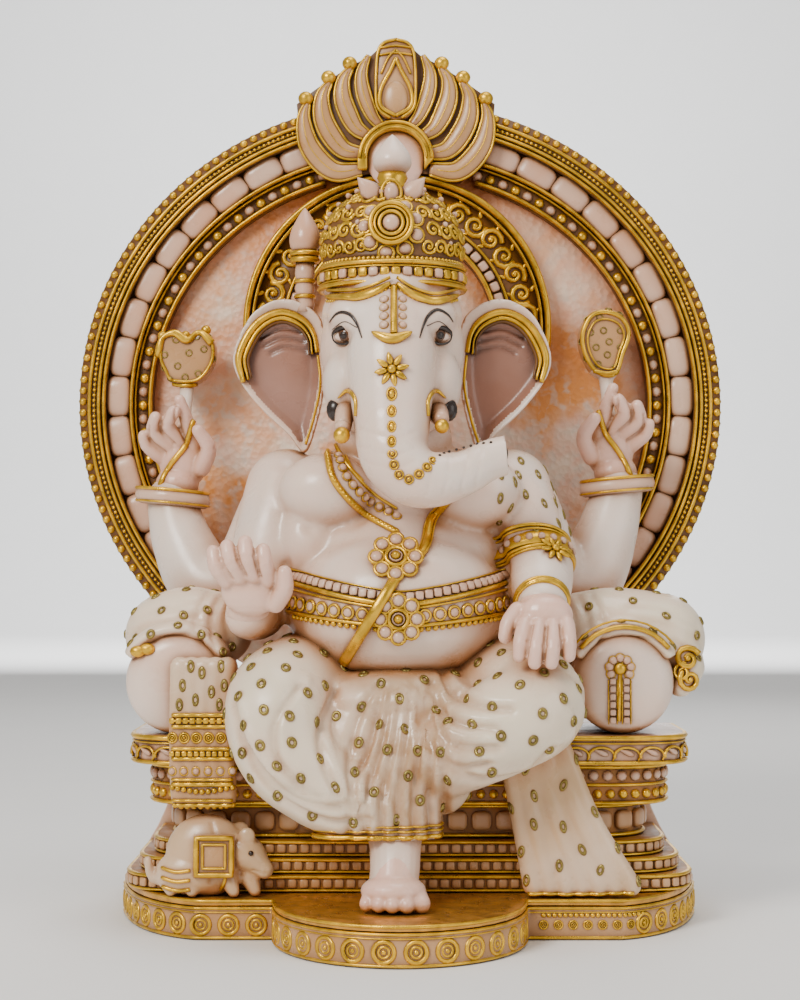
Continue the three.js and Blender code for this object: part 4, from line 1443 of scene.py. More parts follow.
def make_head():
    bm = bmesh.new()
    x = FACE_X
    ball(bm, (x, -42, SEAT + 246), (46, 43, 48), 32)
    ball(bm, (x, -48, SEAT + 222), (44, 36, 36), 32)
    ball(bm, (x, -44, SEAT + 266), (45, 38, 32), 32)
    ball(bm, (x, -58, SEAT + 259), (40, 36, 24), 32)
    band_low, band_high = box_mm("crown_band")
    band_at = (band_low + band_high) / 2
    ball(bm, (band_at.x, band_at.y, band_low.z + 3), ((band_high.x - band_low.x) / 2 - 1.5, 43, 13), 36)
    for sign in (-1, 1):
        ball(bm, (x + sign * 27, -60, SEAT + 222), (17, 22, 24), 24)
        ball(bm, (x + sign * 24, -62, SEAT + 264), (17, 22, 13), 24)
    limb(
        bm,
        *seated(
            (x, -58, 268, 30), (x, -72, 246, 29), (x, -82, 222, 27.5), (x, -89, 198, 25),
            (x + 2, -96, 174, 22.5), (x + 18, -100, 160, 20), (x + 42, -99, 163, 16.5),
            (54, -98, 171.5, 13), (66, -97, 175, 12)
        ),
        sides=28
    )
    melt(bm, 1.5, 6)
    cut_off(bm, seat(64.5, 0, 175), (1, 0, 0.1))
    for sign in (-1, 1):
        eye = (x + sign * 29, -78, SEAT + 250)
        crease(bm, [(eye[0] - 8, -80, eye[2]), eye, (eye[0] + 8, -80, eye[2])], 7, 2.6)
    skin = Skin(bm)
    for level in (184, 174, 166):
        skin.press([(x - 20, SEAT + level + 6), (x, SEAT + level), (x + 14, SEAT + level + 4)], 1.1, 0.5)
    for along in (24, 34, 44, 52):
        skin.press(
            [(x + along - 3, SEAT + 150), (x + along, SEAT + 164), (x + along + 2, SEAT + 178)], 1.1, 0.5
        )
    skin = SKINS["head"] = Skin(bm)
    finish_piece(bm, "head_and_trunk", "white_marble", "marble", "head", "trunk")

    dark, brown, white = drawings(3)
    brows = (
        ((-44, 385), (-40, 388.6), (-35.6, 389.6), (-30.5, 387.5), (-26.4, 381.5), (-23.2, 372)),
        ((12, 372), (14.4, 380.4), (17.6, 387), (23, 391), (29.5, 388.6), (33, 385))
    )
    for sign, brow in zip((-1, 1), brows):
        wire(dark, skin.lay(brow, 1.5, 0.1), lambda s: 0.35 + 0.75 * sin(pi * s), 0.6, 5)
        cx, cz = x + sign * 29.5, 375.8
        point, normal = skin.front(cx, cz)
        face = facing(point - normal * 1.6, (normal + FRONT * 0.8).normalized(), turn=sign * -0.12)
        globe(white, face @ Matrix.Diagonal((8.2, 4.6, 4.4, 1)), 20, 12)
        iris = face @ Matrix.Translation((0, 0.3, 2.3)) @ Matrix.Diagonal((4.5, 4.3, 2.5, 1))
        globe(brown, iris, 16, 8)
        pupil = face @ Matrix.Translation((0, 0.3, 3.3)) @ Matrix.Diagonal((3, 2.9, 1.9, 1))
        globe(dark, pupil, 12, 6)
        for arch, width in ((1, 1.15), (-1, 0.7)):
            lid = []
            for k in range(13):
                turn = pi * k / 12
                spot = face @ vec(-8.6 * cos(turn), arch * 5 * sin(turn), 1.6 + 2.2 * sin(turn))
                lid.append((spot, normal))
            wire(dark, lid, lambda s, w=width: w * (0.4 + sin(pi * s)), 0.6, 5)
        fold = skin.lay([(cx - 8, cz + 4.5), (cx, cz + 8), (cx + 8, cz + 3.5)], 1.5, 0.05)
        wire(dark, fold, 0.28, 0.3, 4)
    finish_piece(white, "eye_whites", "white_marble", "marble")
    finish_piece(brown, "eye_irises", "white_marble", "iris")
    finish_piece(dark, "eye_lines", "white_marble", "ink")

    gold, pale, black = drawings(3)
    wire(gold, skin.lay([(x + 1.2, 405), (x + 1.2, 390), (x + 1.2, 374)], 2, 0.8), 2.1, 1.8, 8)
    bar = skin.lay([(x - 11.5, 374.5), (x, 370.5), (x + 11.5, 374.5)], 1.2, 0.9)
    wire(gold, bar, lambda s: 0.7 + 2.7 * sin(pi * s) ** 0.7, 2, 8)
    for side, size in ((-4.8, 3), (6.6, 2.6)):
        for level in (396.5, 391, 385.4, 379.6):
            point, normal = skin.front(x + side, level)
            stud(pale, "bead", point, normal, size, 1.7)
            stud(gold, "rings", point, normal, size * 1.08, 1)
    point, normal = skin.front(x, 351.5)
    normal = (normal + FRONT).normalized()
    stud(gold, "flower", point + normal * 0.8, normal, 11.2, 8, turn=0.2)
    for level, size in ((336.5, 4.2), (326, 3.7), (316.5, 3.5), (307.5, 3.5)):
        point, normal = skin.front(x, level)
        stud(gold, "rings", point, normal, (size * 0.85, size * 1.15, 2.2))
        stud(gold, "bead", point, normal, (size * 0.45, size * 0.7, 1.5))
    chain = skin.lay(
        [(x + 0.4, 300), (x + 2.6, 290), (x + 9.5, 284.5), (x + 18, 289), (x + 25, 296)], 1, 0.2
    )
    string(gold, chain, 7.2, 3.3, "rings", 2)
    string(gold, chain, 7.2, 1.6, "bead", 1.5)
    for dy in (-4.2, 4.2):
        ball(black, (64.8, -97 + dy, SEAT + 175), (0.9, 2.6, 3.6), 12)
    tail = skin.lay([(x + 29, 299.5), (x + 37, 303.5), (x + 47, 306), (x + 60, 307.5)], 1, 0.1)
    string(black, tail, 4.4, 1, "bead", 0.8)

    for (sign, side), z_ball, size in zip(SIDES, (312.5, 318), (5.2, 4.5)):
        # Dark ink balls half sunk beside each tusk are painted shade in the corners of the mouth.
        ball(black, (x + sign * 35, -71, 330), (6, 5, 7.5), 14)
        tusk = bmesh.new()
        root = (x + sign * 27, -62, 334, 7.4)
        limb(tusk, root, (x + sign * 29, -80, 326, 6.4), (x + sign * 30, -91, z_ball + 5, 5.2), sides=16)
        finish_piece(tusk, f"tusk_{side}_stub", "white_marble", "petal", f"tusk_{side}")
        ball(gold, (x + sign * 30.6, -95, z_ball), size, 16)
        arc = skin.lay(
            [(x + sign * 33, 337), (x + sign * 27, 341), (x + sign * 22, 334), (x + sign * 21.5, 324)], 1.5,
            0.3
        )
        wire(gold, arc, lambda s: 0.5 + 1.1 * sin(pi * s), 1.5)
    for points in (
        ((x - 40, 402), (x - 26, 399), (x - 12, 401), (x - 1, 406)),
        ((x + 3, 406), (x + 13, 399.5), (x + 28, 396.5), (x + 40, 403))
    ):
        swag = skin.lay(points, 1.5, 0.9)
        wire(gold, swag, lambda s: 1.4 + 2.2 * sin(pi * s), 2.2, 8)
        wire(gold, [(p + UP * 4.2, n) for p, n in swag], 0.9, 1.4)
        string(gold, [(p - UP * 2.6, n) for p, n in swag], 3, 1.2, "bead", 1.4)
    gild(gold, "face_gilding")
    pearl_work(pale, "face_pearls")
    # Dark ink: the trunk tip's nostrils and dotted line, and the painted shade beside the tusks.
    finish_piece(black, "trunk_dots_and_mouth_shade", "white_marble", "ink")


class IDOL_OT_head(bpy.types.Operator):
    """Carve the elephant's head and trunk, with its eyes, forehead mark and beads"""

    bl_idname = "idol.head"
    bl_label = "Head and Trunk"

    def execute(self, context):
        make_head()
        return {"FINISHED"}


def within(spot, ring):
    """Whether a point lies inside a closed (x, z) outline."""
    inside = False
    for (x0, z0), (x1, z1) in zip(ring, ring[1:] + ring[:1]):
        if (z0 > spot.z) != (z1 > spot.z) and spot.x < (x1 - x0) * (spot.z - z0) / (z1 - z0) + x0:
            inside = not inside
    return inside


def make_ears():
    outline = (
        (44, 14), (52, 28), (71, 35), (91, 25), (103, 0), (100, -17), (85, -37), (67, -54), (57, -66),
        (50, -50), (44, -22)
    )
    middle = vec(70, 0, -10)
    for sign, side in SIDES:
        low, high = box_mm(f"ear_{side}")
        front, back = low.y, high.y
        place = lambda out, rise: (FACE_X + sign * out, SEAT + 246 + rise)
        shell = bmesh.new()
        ring = [place(*spot) for spot in rounded(outline)]
        slab(shell, ring, front + 2, back - 1)
        shell_faces = [face for face in shell.faces if face.calc_area() > 400]
        front_face = min(shell_faces, key=lambda face: face.calc_center_median().y)
        bmesh.ops.inset_region(shell, faces=[front_face], thickness=9, depth=0)
        pressed = list({vert for vert in front_face.verts})
        bmesh.ops.translate(shell, vec=(0, 7.5, 0), verts=pressed)
        melt(shell, 1.5, 8)
        skin = Skin(shell)
        for path in (
            ((60, 14), (72, 16), (86, 10)), ((58, 8), (72, 10), (84, 5)), ((56, 2), (70, 4), (80, 0))
        ):
            line = [place(*spot) for spot in path]
            skin.press(line, 1.5, 1.7)
            skin.press([(px, pz + 3) for px, pz in line], 1.4, -0.8)
        inside = [
            (middle.x + (px - middle.x) * 0.83, middle.z + (pz - middle.z) * 0.83 - 2)
            for px, pz in rounded(outline)
        ]
        ring = [place(*spot) for spot in inside]

        def in_hollow(face):
            spot = face.calc_center_median()
            return front + 3.2 < spot.y < back - 4 and face.normal.y < -0.05 and within(spot, ring)

        paint(shell, in_hollow)
        carved(shell, f"ear_{side}", "white_marble", "marble ear")

        gold = bmesh.new()
        rim = [
            place(*spot)
            for spot in (
                (97, -20), (100, -4), (93, 13), (83, 23), (71, 26.5), (58, 21.5), (50.5, 12), (48, 0)
            )
        ]
        route = skin.lay(rim, 2, 0.6)
        taper = lambda s: 0.9 + 1.9 * min(1, sin(pi * min(0.96, s + 0.06)) * 1.4)
        wire(gold, route, taper, 2.4, 8)
        heart = vec(FACE_X + sign * 70, 0, SEAT + 240)
        toward = [(p, (vec(heart.x, p.y, heart.z) - p).normalized()) for p, _ in route]
        inner_rim = [(p + way * 3.8 + FRONT * 0.4, FRONT) for p, way in toward]
        wire(gold, inner_rim, lambda s: 0.55 * taper(s), 2.4, 8)
        dark = bmesh.new()
        wire(
            dark, [(p + way * 5.8 - FRONT * 0.6, FRONT) for p, way in toward], lambda s: 0.5 * taper(s),
            1.8, 8
        )
        finish_piece(dark, f"ear_{side}_shadow", "gilding", "umber")
        edge = skin.lay([place(*spot) for spot in ((48, -2), (46.5, -22), (51, -44), (56, -60))], 2, 0.4)
        wire(gold, edge, 0.8, 1.2)
        gild(gold, f"ear_{side}_rim")


class IDOL_OT_ears(bpy.types.Operator):
    """Carve the two ears with their gilded rims"""

    bl_idname = "idol.ears"
    bl_label = "Ears"

    def execute(self, context):
        make_ears()
        return {"FINISHED"}


def bud_profile(bottom, top, radius):
    """A lotus bud's profile."""
    tall = top - bottom
    shape = (
        (0.01, 0), (0.55, 0), (0.92, 0.16), (1, 0.34), (0.86, 0.54), (0.56, 0.74), (0.22, 0.92), (0.01, 1)
    )
    curve = through([vec(r * radius, 0, bottom + h * tall) for r, h in shape], None, 29)
    return [(max(0.01, p.x), p.z) for p in curve]


def make_crown():
    low, high = box_mm("crown_band")
    dome_low, dome_high = box_mm("crown_dome")
    cx, cy = (low.x + high.x) / 2, (low.y + high.y) / 2
    half, deep = (high.x - low.x) / 2, (high.y - low.y) / 2

    def oval(z, grow):
        points = []
        for k in range(72):
            turn = tau * k / 72 + pi / 2
            points.append(vec(cx + (half + grow) * cos(turn), cy + (deep + grow) * sin(turn), z))
        route = []
        for point in evenly(points, 2, closed=True):
            way = vec((point.x - cx) / half**2, (point.y - cy) / deep**2, 0).normalized()
            route.append((point, way))
        return route

    gold, pale, ground = drawings(3)
    profile = [(0.01, low.z + 0.5), (1, low.z + 0.5), (1, high.z), (0.01, high.z)]
    turned(ground, (0, 0, 0), profile, steps=64)
    bmesh.ops.scale(ground, vec=(half - 1.5, deep - 1.5, 1), verts=ground.verts)
    bmesh.ops.translate(ground, vec=(cx, cy, 0), verts=ground.verts)
    finish_piece(ground, "crown_band_ground", "gilded_marble", "umber", "crown_band", crisp=True)
    middle = (low.z + high.z) / 2
    for z, width, height in (
        (low.z + 1.8, 1.8, 2.4), (low.z + 4.3, 0.7, 1.2), (high.z - 1.6, 1.7, 2.4), (high.z - 4.2, 0.7, 1.2)
    ):
        wire(gold, oval(z, -1.2), width, height, closed=True)
    ring = oval(middle, -1.2)
    string(gold, ring, 7, 2.9, "block", 2.4, skip=lambda i: i % 3 == 0)
    string(pale, ring, 7, 3, "block", 2.8, skip=lambda i: i % 3 != 0)
    rope = oval(high.z + 0.6, -2.4)
    string(gold, rope, 3.1, 1.6, "bead", 1.6)

    dome = bmesh.new()
    dx, dy = (dome_low.x + dome_high.x) / 2, (dome_low.y + dome_high.y) / 2
    wide, thick = (dome_high.x - dome_low.x) / 2, (dome_high.y - dome_low.y) / 2
    tall = dome_high.z - dome_low.z
    curve = [
        (0.01, 0), (0.86, 0), (0.95, 0.14), (0.965, 0.3), (0.9, 0.5), (0.76, 0.7), (0.52, 0.87),
        (0.26, 0.97), (0.01, 1)
    ]
    smooth = through([vec(r, 0, h) for r, h in curve], None, 41)
    turned(dome, (0, 0, 0), [(max(0.01, p.x), p.z) for p in smooth], steps=56)
    bmesh.ops.scale(dome, vec=(wide, thick, tall - 1.5), verts=dome.verts)
    bmesh.ops.translate(dome, vec=(dx, dy, dome_low.z), verts=dome.verts)
    bmesh.ops.recalc_face_normals(dome, faces=dome.faces)
    skin = Skin(dome)
    finish_piece(dome, "crown_dome_ground", "gilded_marble", "umber", "crown_dome")

    eye = skin.front(FACE_X - 0.5, dome_low.z + 22.5)
    centre, normal = eye[0] + FRONT * 2.2, (eye[1] + FRONT * 1.5).normalized()
    face = facing(centre, normal)
    for level, size in ((9, 9), (20, 10), (31, 10), (41, 9), (48, 7)):
        axis = vec(dx, dy, dome_low.z + level)
        route = girdle(skin, axis, (0, 0, 1), wide, 0.2, 72)
        places = evenly([p for p, _ in route], size * 0.98, closed=True)
        for i, place in enumerate(places):
            point, out = skin.nearest(place)
            if (point - centre).length < 21:
                continue
            kind = ("scroll", "mirror_scroll")[i % 2]
            stud(gold, kind, point, out, size, 9, turn=(i % 4) * 0.5 - 0.7)
            if i % 3 == 0:
                stud(pale, "bead", point + UP * size * 0.42, out, 1.9, 2.2)
    for radius, thickness in ((13, 1.7), (10.4, 1), (7.4, 1.4)):
        ring = ring_route(32, lambda c, s: face @ vec(radius * c, radius * s, 1), lambda c, s: normal)
        wire(gold, ring, thickness, 2.2, closed=True)
    ball(gold, centre - normal * 5, (13, 6, 13), 24)
    stud(pale, "pearl", centre + normal * 0.8, normal, 5.6, 4)
    for k in range(9):
        turn = tau * (k + 0.5) / 9
        if abs(turn - pi / 2) < radians(12):
            continue
        point, out = skin.nearest(face @ vec(18.4 * cos(turn), 18.4 * sin(turn), 0))
        stud(pale, "pearl", point, out, 4.2, 3.4)
        stud(gold, "rings", point, out, 6.2, 4.6)
    top = skin.front(FACE_X - 0.5, dome_high.z - 10)
    for sign in (-1, 1):
        petal_face = facing(top[0] + FRONT * 1 + vec(sign * 8, 0, -4), FRONT, turn=sign * -0.75)
        stamp(pale, "petal", petal_face @ Matrix.Diagonal((26, 20, 14, 1)))
    stud(pale, "pearl", top[0] + FRONT * 3, FRONT, (5, 7.2, 4.2))
    ring = ring_route(24, lambda c, s: top[0] + vec(6.2 * c, -3.5, 8.4 * s), lambda c, s: FRONT)
    wire(gold, ring, 1.2, 1.6, closed=True)

    low, high = box_mm("crown_finial")
    tip = vec((low.x + high.x) / 2, (low.y + high.y) / 2, 0)
    turned(
        gold, tip,
        [
            (0.01, low.z), (9.5, low.z), (10, low.z + 2), (8.6, low.z + 4), (10, low.z + 7),
            (9, low.z + 10.5), (0.01, low.z + 10.5)
        ]
    )
    bud = bmesh.new()
    turned(bud, tip, bud_profile(low.z + 9.5, high.z, 12.6))
    finish_piece(bud, "crown_bud", "white_marble", "marble", "crown_finial")

    low, high = box_mm("crown_side_finial")
    tip = vec((low.x + high.x) / 2, (low.y + high.y) / 2, 0)
    post = bmesh.new()
    turned(
        post, tip,
        [
            (0.01, low.z), (5.2, low.z), (6.4, low.z + 5), (5.4, low.z + 10), (6.6, low.z + 15),
            (5.4, low.z + 20), (6.6, low.z + 25), (5.6, high.z - 34), (0.01, high.z - 34)
        ]
    )
    turned(post, tip, bud_profile(high.z - 31, high.z, 10.2))
    finish_piece(post, "crown_side_bud", "white_marble", "petal", "crown_side_finial")
    for z, radius, thickness in (
        (high.z - 34.5, 8, 2.2), (high.z - 30.4, 8.6, 1.8), (low.z + 10, 6, 1.4), (low.z + 20, 6, 1.4)
    ):
        ring = ring_route(20, lambda c, s: tip + vec(radius * c, radius * s, z), lambda c, s: vec(c, s, 0))
        wire(gold, ring, thickness, thickness, closed=True)
    gild(gold, "crown_gilding")
    pearl_work(pale, "crown_pearls")


class IDOL_OT_crown(bpy.types.Operator):
    """Carve the jewelled crown, its medallion and its two finials"""

    bl_idname = "idol.crown"
    bl_label = "Crown"

    def execute(self, context):
        make_crown()
        return {"FINISHED"}


# ---- hands and emblems


def carve_hand(node, palm, fingers):
    bm = bmesh.new()
    for x, y, z, radii in palm:
        ball(bm, seat(x, y, z), radii, 20)
    for finger in fingers:
        limb(bm, *seated(*finger), sides=12)
    melt(bm, 0.95, 4)
    skin = Skin(bm)
    for one, two in zip(fingers[:3], fingers[1:4]):
        middle = [(seat(*a[:3]) + seat(*b[:3])) / 2 for a, b in zip(one, two)]
        skin.press([(point.x, point.z) for point in middle], 1, 1.5)
    for finger in fingers:
        knuckle = seat(*finger[1][:3])
        crease(bm, [knuckle + vec(-5, -3, 0), knuckle + vec(5, -3, 0)], 1, 0.45)
    SKINS[node] = Skin(bm)
    carved(bm, node, "white_marble", "blush")


def bracelets():
    gold, pale = drawings(2)
    for sign, x, z in ((-1, -156, SEAT + 154), (1, 149, SEAT + 162)):
        wrist = vec(x, 57, z)
        ring = ring_route(
            36, lambda c, s: wrist + vec(22.5 * c, 19.5 * s, 0) + vec(0, 0, 2.2 * c * sign), lambda c,
            s: vec(c, s, 0)
        )
        wire(pale, ring, 5.6, 3.4, 8, closed=True)
        for rise, width in ((4.9, 1.3), (-3.8, 0.9)):
            wire(gold, [(p + way * 1.8 + UP * rise, way) for p, way in ring], width, 1.7, closed=True)
    for node, ends in (
        (
            "rear_hand_left",
            ((-165, SEAT + 158), (-158, SEAT + 174), (-146, SEAT + 190), (-141, SEAT + 206))
        ),
        ("rear_hand_right", ((158, SEAT + 166), (151, SEAT + 182), (140, SEAT + 198), (135, SEAT + 214)))
    ):
        strap_route = SKINS[node].lay(ends, 1.5, 0.7)
        wire(gold, strap_route, 2, 1.4, 8)
    gild(gold, "hand_gilding")
    pearl_work(pale, "hand_bracelets")


def make_hands():
    raised = [
        ((-107, -80, 98, 5.2), (-113, -85, 107, 5.2), (-115, -83, 116, 4.4)),
        ((-99, -82, 101, 5.8), (-104, -88, 111, 5.7), (-106, -86, 119, 4.8)),
        ((-90, -83, 102, 5.8), (-94, -89, 113, 5.7), (-95, -87, 121.5, 4.8)),
        ((-81, -81, 99, 5.6), (-83, -87, 109, 5.5), (-84, -86, 117, 4.6)),
        ((-77, -76, 84, 6.2), (-71, -83, 93, 5.8), (-71, -85, 103, 4.8))
    ]
    resting = [
        ((76, -96, 72, 5.2), (73, -104, 62, 4.9), (72, -105, 53, 4.2)),
        ((84, -98, 70, 5.6), (82, -107, 59, 5.2), (81, -108, 49, 4.4)),
        ((93, -98, 70, 5.6), (92, -107, 59, 5.2), (91, -108, 49, 4.4)),
        ((101, -95, 72, 5.4), (102, -103, 62, 5), (102, -104, 53, 4.2)),
        ((72, -88, 80, 5.6), (66, -92, 72, 5.2), (64, -94, 64, 4.4))
    ]
    carve_hand("front_hand_left", [(-92, -74, 92, (19, 9, 16)), (-95, -62, 80, (14, 13, 12))], raised)
    carve_hand("front_hand_right", [(89, -90, 77, (17, 10, 13)), (88, -80, 82, (15, 13, 11))], resting)
    for sign, side, dx, dz in ((-1, "left", 0, 0), (1, "right", -5, 8)):
        at = lambda x, y, z, r: (sign * (x + dx), y, z + dz, r)
        fingers = [
            (at(141, 54, 190, 5.8), at(146, 46, 208, 5), at(150, 43, 220, 4)),
            (at(150, 52, 192, 5.8), at(158, 43, 203, 5.2), at(153, 38, 212, 4.4)),
            (at(158, 53, 189, 5.6), at(168, 45, 199, 5), at(166, 40, 208, 4.2)),
            (at(163, 56, 181, 5.2), at(173, 50, 189, 4.6), at(175, 46, 196, 3.8)),
            (at(136, 52, 174, 6.4), at(130, 43, 187, 5.6), at(137, 38, 199, 4.4))
        ]
        palm = [
            (sign * (149 + dx), 58, 180 + dz, (17, 11, 21)), (sign * (153 + dx), 57, 163 + dz, (15, 13, 13))
        ]
        carve_hand(f"rear_hand_{side}", palm, fingers)
    bracelets()


class IDOL_OT_hands(bpy.types.Operator):
    """Carve the four hands, with their bracelets and straps"""

    bl_idname = "idol.hands"
    bl_label = "Hands"

    def execute(self, context):
        make_hands()
        return {"FINISHED"}


def make_emblems():
    shapes = {
        "axe": (
            (-10, -17), (8, -17), (19, -4), (20, 10), (12, 19), (2, 14), (-8, 20), (-18, 14), (-19, 0),
            (-15, -10)
        ),
        "goad": (
            (-6, -22), (8, -20), (17, -6), (19, 10), (12, 24), (0, 27), (-12, 22), (-17, 10), (-12, -6)
        )
    }
    spots = bmesh.new()
    for name, outline in shapes.items():
        low, high = box_mm(name)
        centre = vec((low.x + high.x) / 2, (low.y + high.y) / 2, high.z - 34)
        sign = -1 if centre.x < 0 else 1
        path = [(centre.x + x * (1 if name == "axe" else -1), centre.z + z) for x, z in rounded(outline)]
        bm = bmesh.new()
        slab(bm, path, centre.y - 15, centre.y + 6)
        melt(bm, 1.4, 16)
        limb(
            bm, (centre.x, centre.y - 4, centre.z - 14, 5.5), (centre.x, 66, low.z + 12, 4.6),
            (centre.x + sign * 1, 56, low.z + 2, 4), sides=12
        )
        melt(bm, 1.3, 4)
        skin = Skin(bm)
        gold = bmesh.new()
        for point, normal in scatter(bm, 8.6, 11, lambda p, n: n.y < -0.35 and p.z > centre.z - 16):
            stud(spots, "rings", point, normal, 2.7, 2.4)
        for scale, width in (((0.88, 1.7), (0.7, 0.8)) if name == "goad" else ((0.9, 1.1),)):
            rim = [
                (centre.x + (px - centre.x) * scale, centre.z + (pz - centre.z) * scale) for px, pz in path
            ]
            wire(gold, skin.lay(rim + rim[:1], 2, 0.4), width, 1.6)
        if name == "axe":
            crescent = [(-19, 2), (-16, 13), (-8, 17), (1, 12), (10, 17), (18, 10)]
            wire(
                gold, skin.lay([(centre.x + x, centre.z + z) for x, z in crescent], 1.5, 1),
                lambda s: 1.4 + 1.6 * abs(cos(2 * pi * s)), 2.4, 8
            )
            for x, z in ((-18, 16), (14, 20), (-1, 16)):
                ball(gold, (centre.x + x * 0.95, centre.y - 8, centre.z + z), 3.6, 12)
        collar = [(centre.x - 9, centre.z - 17), (centre.x, centre.z - 19), (centre.x + 9, centre.z - 17)]
        wire(gold, skin.lay(collar, 1.5, 0.5), 1.8, 2)
        paint(bm, lambda face: face.calc_center_median().z < centre.z - 17)
        finish_piece(bm, name + "_blade", "cloth_marble", "lotus marble", name)
        gild(gold, name + "_gilding")
    ring_work(spots, "emblem_rings")


class IDOL_OT_emblems(bpy.types.Operator):
    """Carve the axe and the goad behind the upper hands"""

    bl_idname = "idol.emblems"
    bl_label = "Axe and Goad"

    def execute(self, context):
        make_emblems()
        return {"FINISHED"}


# ---- legs and cloths


def dots(bm, gold, size, spacing, seed, keep, long=1.15):
    """Painted rings scattered over a cloth."""
    rng = random.Random(seed + 1)
    for point, normal in scatter(bm, spacing, seed, keep):
        frame_at = facing(point, normal, turn=rng.uniform(-0.5, 0.5))
        stamp(gold, "ring", frame_at @ Matrix.Diagonal((size, size * long, size * 1.15, 1)))


def make_dhoti(context):
    sizes = context.scene.idol_sizes
    bm = bmesh.new()
    limb(
        bm,
        *seated(
            (-46, -14, 34, 36), (-74, -70, 24, 34), (-70, -84, -6, 32), (-46, -88, -28, 27),
            (-12, -86, -44, 21)
        ),
        sides=28
    )
    limb(bm, *seated((46, -14, 34, 36), (84, -72, 24, 32.5), (62, -84, 8, 31), (30, -86, -8, 26)), sides=28)
    limb(
        bm,
        *seated(
            (6, -40, 30, 38), (4, -68, 12, 34), (0, -80, -16, 30), (-3, -82, -40, 28), (-3, -84, -58, 29)
        ),
        sides=28, flat=0.72
    )
    ball(bm, seat(2, -52, 22), (60, 40, 24), 28)
    ball(bm, seat(-26, -66, -4), (32, 26, 32), 28)
    ball(bm, seat(24, -70, -14), (24, 22, 34), 28)
    melt(bm, 1.9, 9)
    hem = SEAT - 58.5
    cut_off(bm, (0, 0, hem), (0, 0, -1))
    skin = Skin(bm)

    for x in (-24, -16, -8, 0, 8, 16, 24):
        lean = (x - 4) * 0.16
        fold = [(x * 0.7 + 6, 160), (x * 0.9 + 4, 128), (x + lean, 96), (x + lean * 1.5, 70)]
        skin.press(fold, 2.4, 3.2)
        skin.press([(px + 4, pz) for px, pz in fold], 2, -1.1)
    for path in (
        ((20, 162), (24, 146), (38, 138), (56, 136)), ((16, 152), (21, 134), (36, 125), (58, 124)),
        ((14, 140), (20, 122), (34, 113), (52, 114)), ((26, 168), (32, 156), (48, 149), (66, 147)),
        ((-96, 128), (-80, 104), (-54, 90), (-26, 88)), ((-88, 112), (-70, 92), (-44, 80), (-20, 80)),
        ((-14, 160), (-26, 138), (-30, 110), (-24, 84)), ((-40, 156), (-48, 134), (-44, 112), (-34, 92)),
        ((-60, 160), (-74, 140), (-74, 118), (-58, 100)), ((30, 112), (50, 104), (76, 108), (92, 122)),
        ((-102, 150), (-92, 122), (-72, 102), (-48, 94))
    ):
        skin.press(path, 3, 3.3)
        skin.press([(x + 4, z + 4) for x, z in path], 3.2, -1.3)
    for _ in range(2):
        bmesh.ops.smooth_vert(
            bm, verts=bm.verts, factor=0.5, use_axis_x=True, use_axis_y=True, use_axis_z=True
        )
    bm.normal_update()
    skin = SKINS["dhoti"] = Skin(bm)
    gold, ring = drawings(2)
    dots(bm, ring, sizes.dot / MM, sizes.dot_spacing / MM, 21, lambda p, n: p.z > hem + 11 and n.z > -0.5)
    hem_ring = []
    for k in range(72):
        way = vec(cos(tau * k / 72), sin(tau * k / 72), 0)
        hit = skin.tree.ray_cast(vec(-3, -84, hem + 5), way, 60)[0]
        if hit:
            hem_ring.append((hit, way))
    for rise, width, out in ((-3.2, 1.7, 0.2), (0.6, 0.8, 0.3), (3.4, 0.7, 0.3)):
        wire(gold, [(p + UP * rise + way * out, way) for p, way in hem_ring], width, 1.4, closed=True)
    finish_piece(bm, "dhoti", "cloth_marble", "dhoti", "leg_left", "leg_right", "lap_drape")
    gild(gold, "dhoti_gilding")
    ring_work(ring, "dhoti_rings")

    foot = bmesh.new()
    limb(foot, *seated((-3, -84, -52, 17), (-3, -92, -74, 15.5), (-4, -98, -86, 15)), sides=20)
    ball(foot, seat(-4, -104, -88), (20, 16, 10), 20)
    toes = ((-20, 13, 4.6), (-12.6, 17, 4.7), (-4.6, 18.5, 4.9), (4, 17.5, 5.2), (12.6, 12.5, 6))
    for x, reach, radius in toes:
        limb(foot, *seated((x * 0.8 - 1, -102, -88, radius), (x, -99 - reach, -94.6, radius)), sides=12)
    melt(foot, 1, 4)
    low = box_mm("foot")[0].z
    cut_off(foot, (0, 0, low + 0.2), (0, 0, -1))
    paint(foot, lambda face: face.calc_center_median().y < -106)
    carved(foot, "foot", "white_marble", "marble blush")


class IDOL_OT_dhoti(bpy.types.Operator):
    """Carve the dhoti over both legs, with its folds, painted rings and hem"""

    bl_idname = "idol.dhoti"
    bl_label = "Dhoti and Foot"

    def execute(self, context):
        make_dhoti(context)
        return {"FINISHED"}


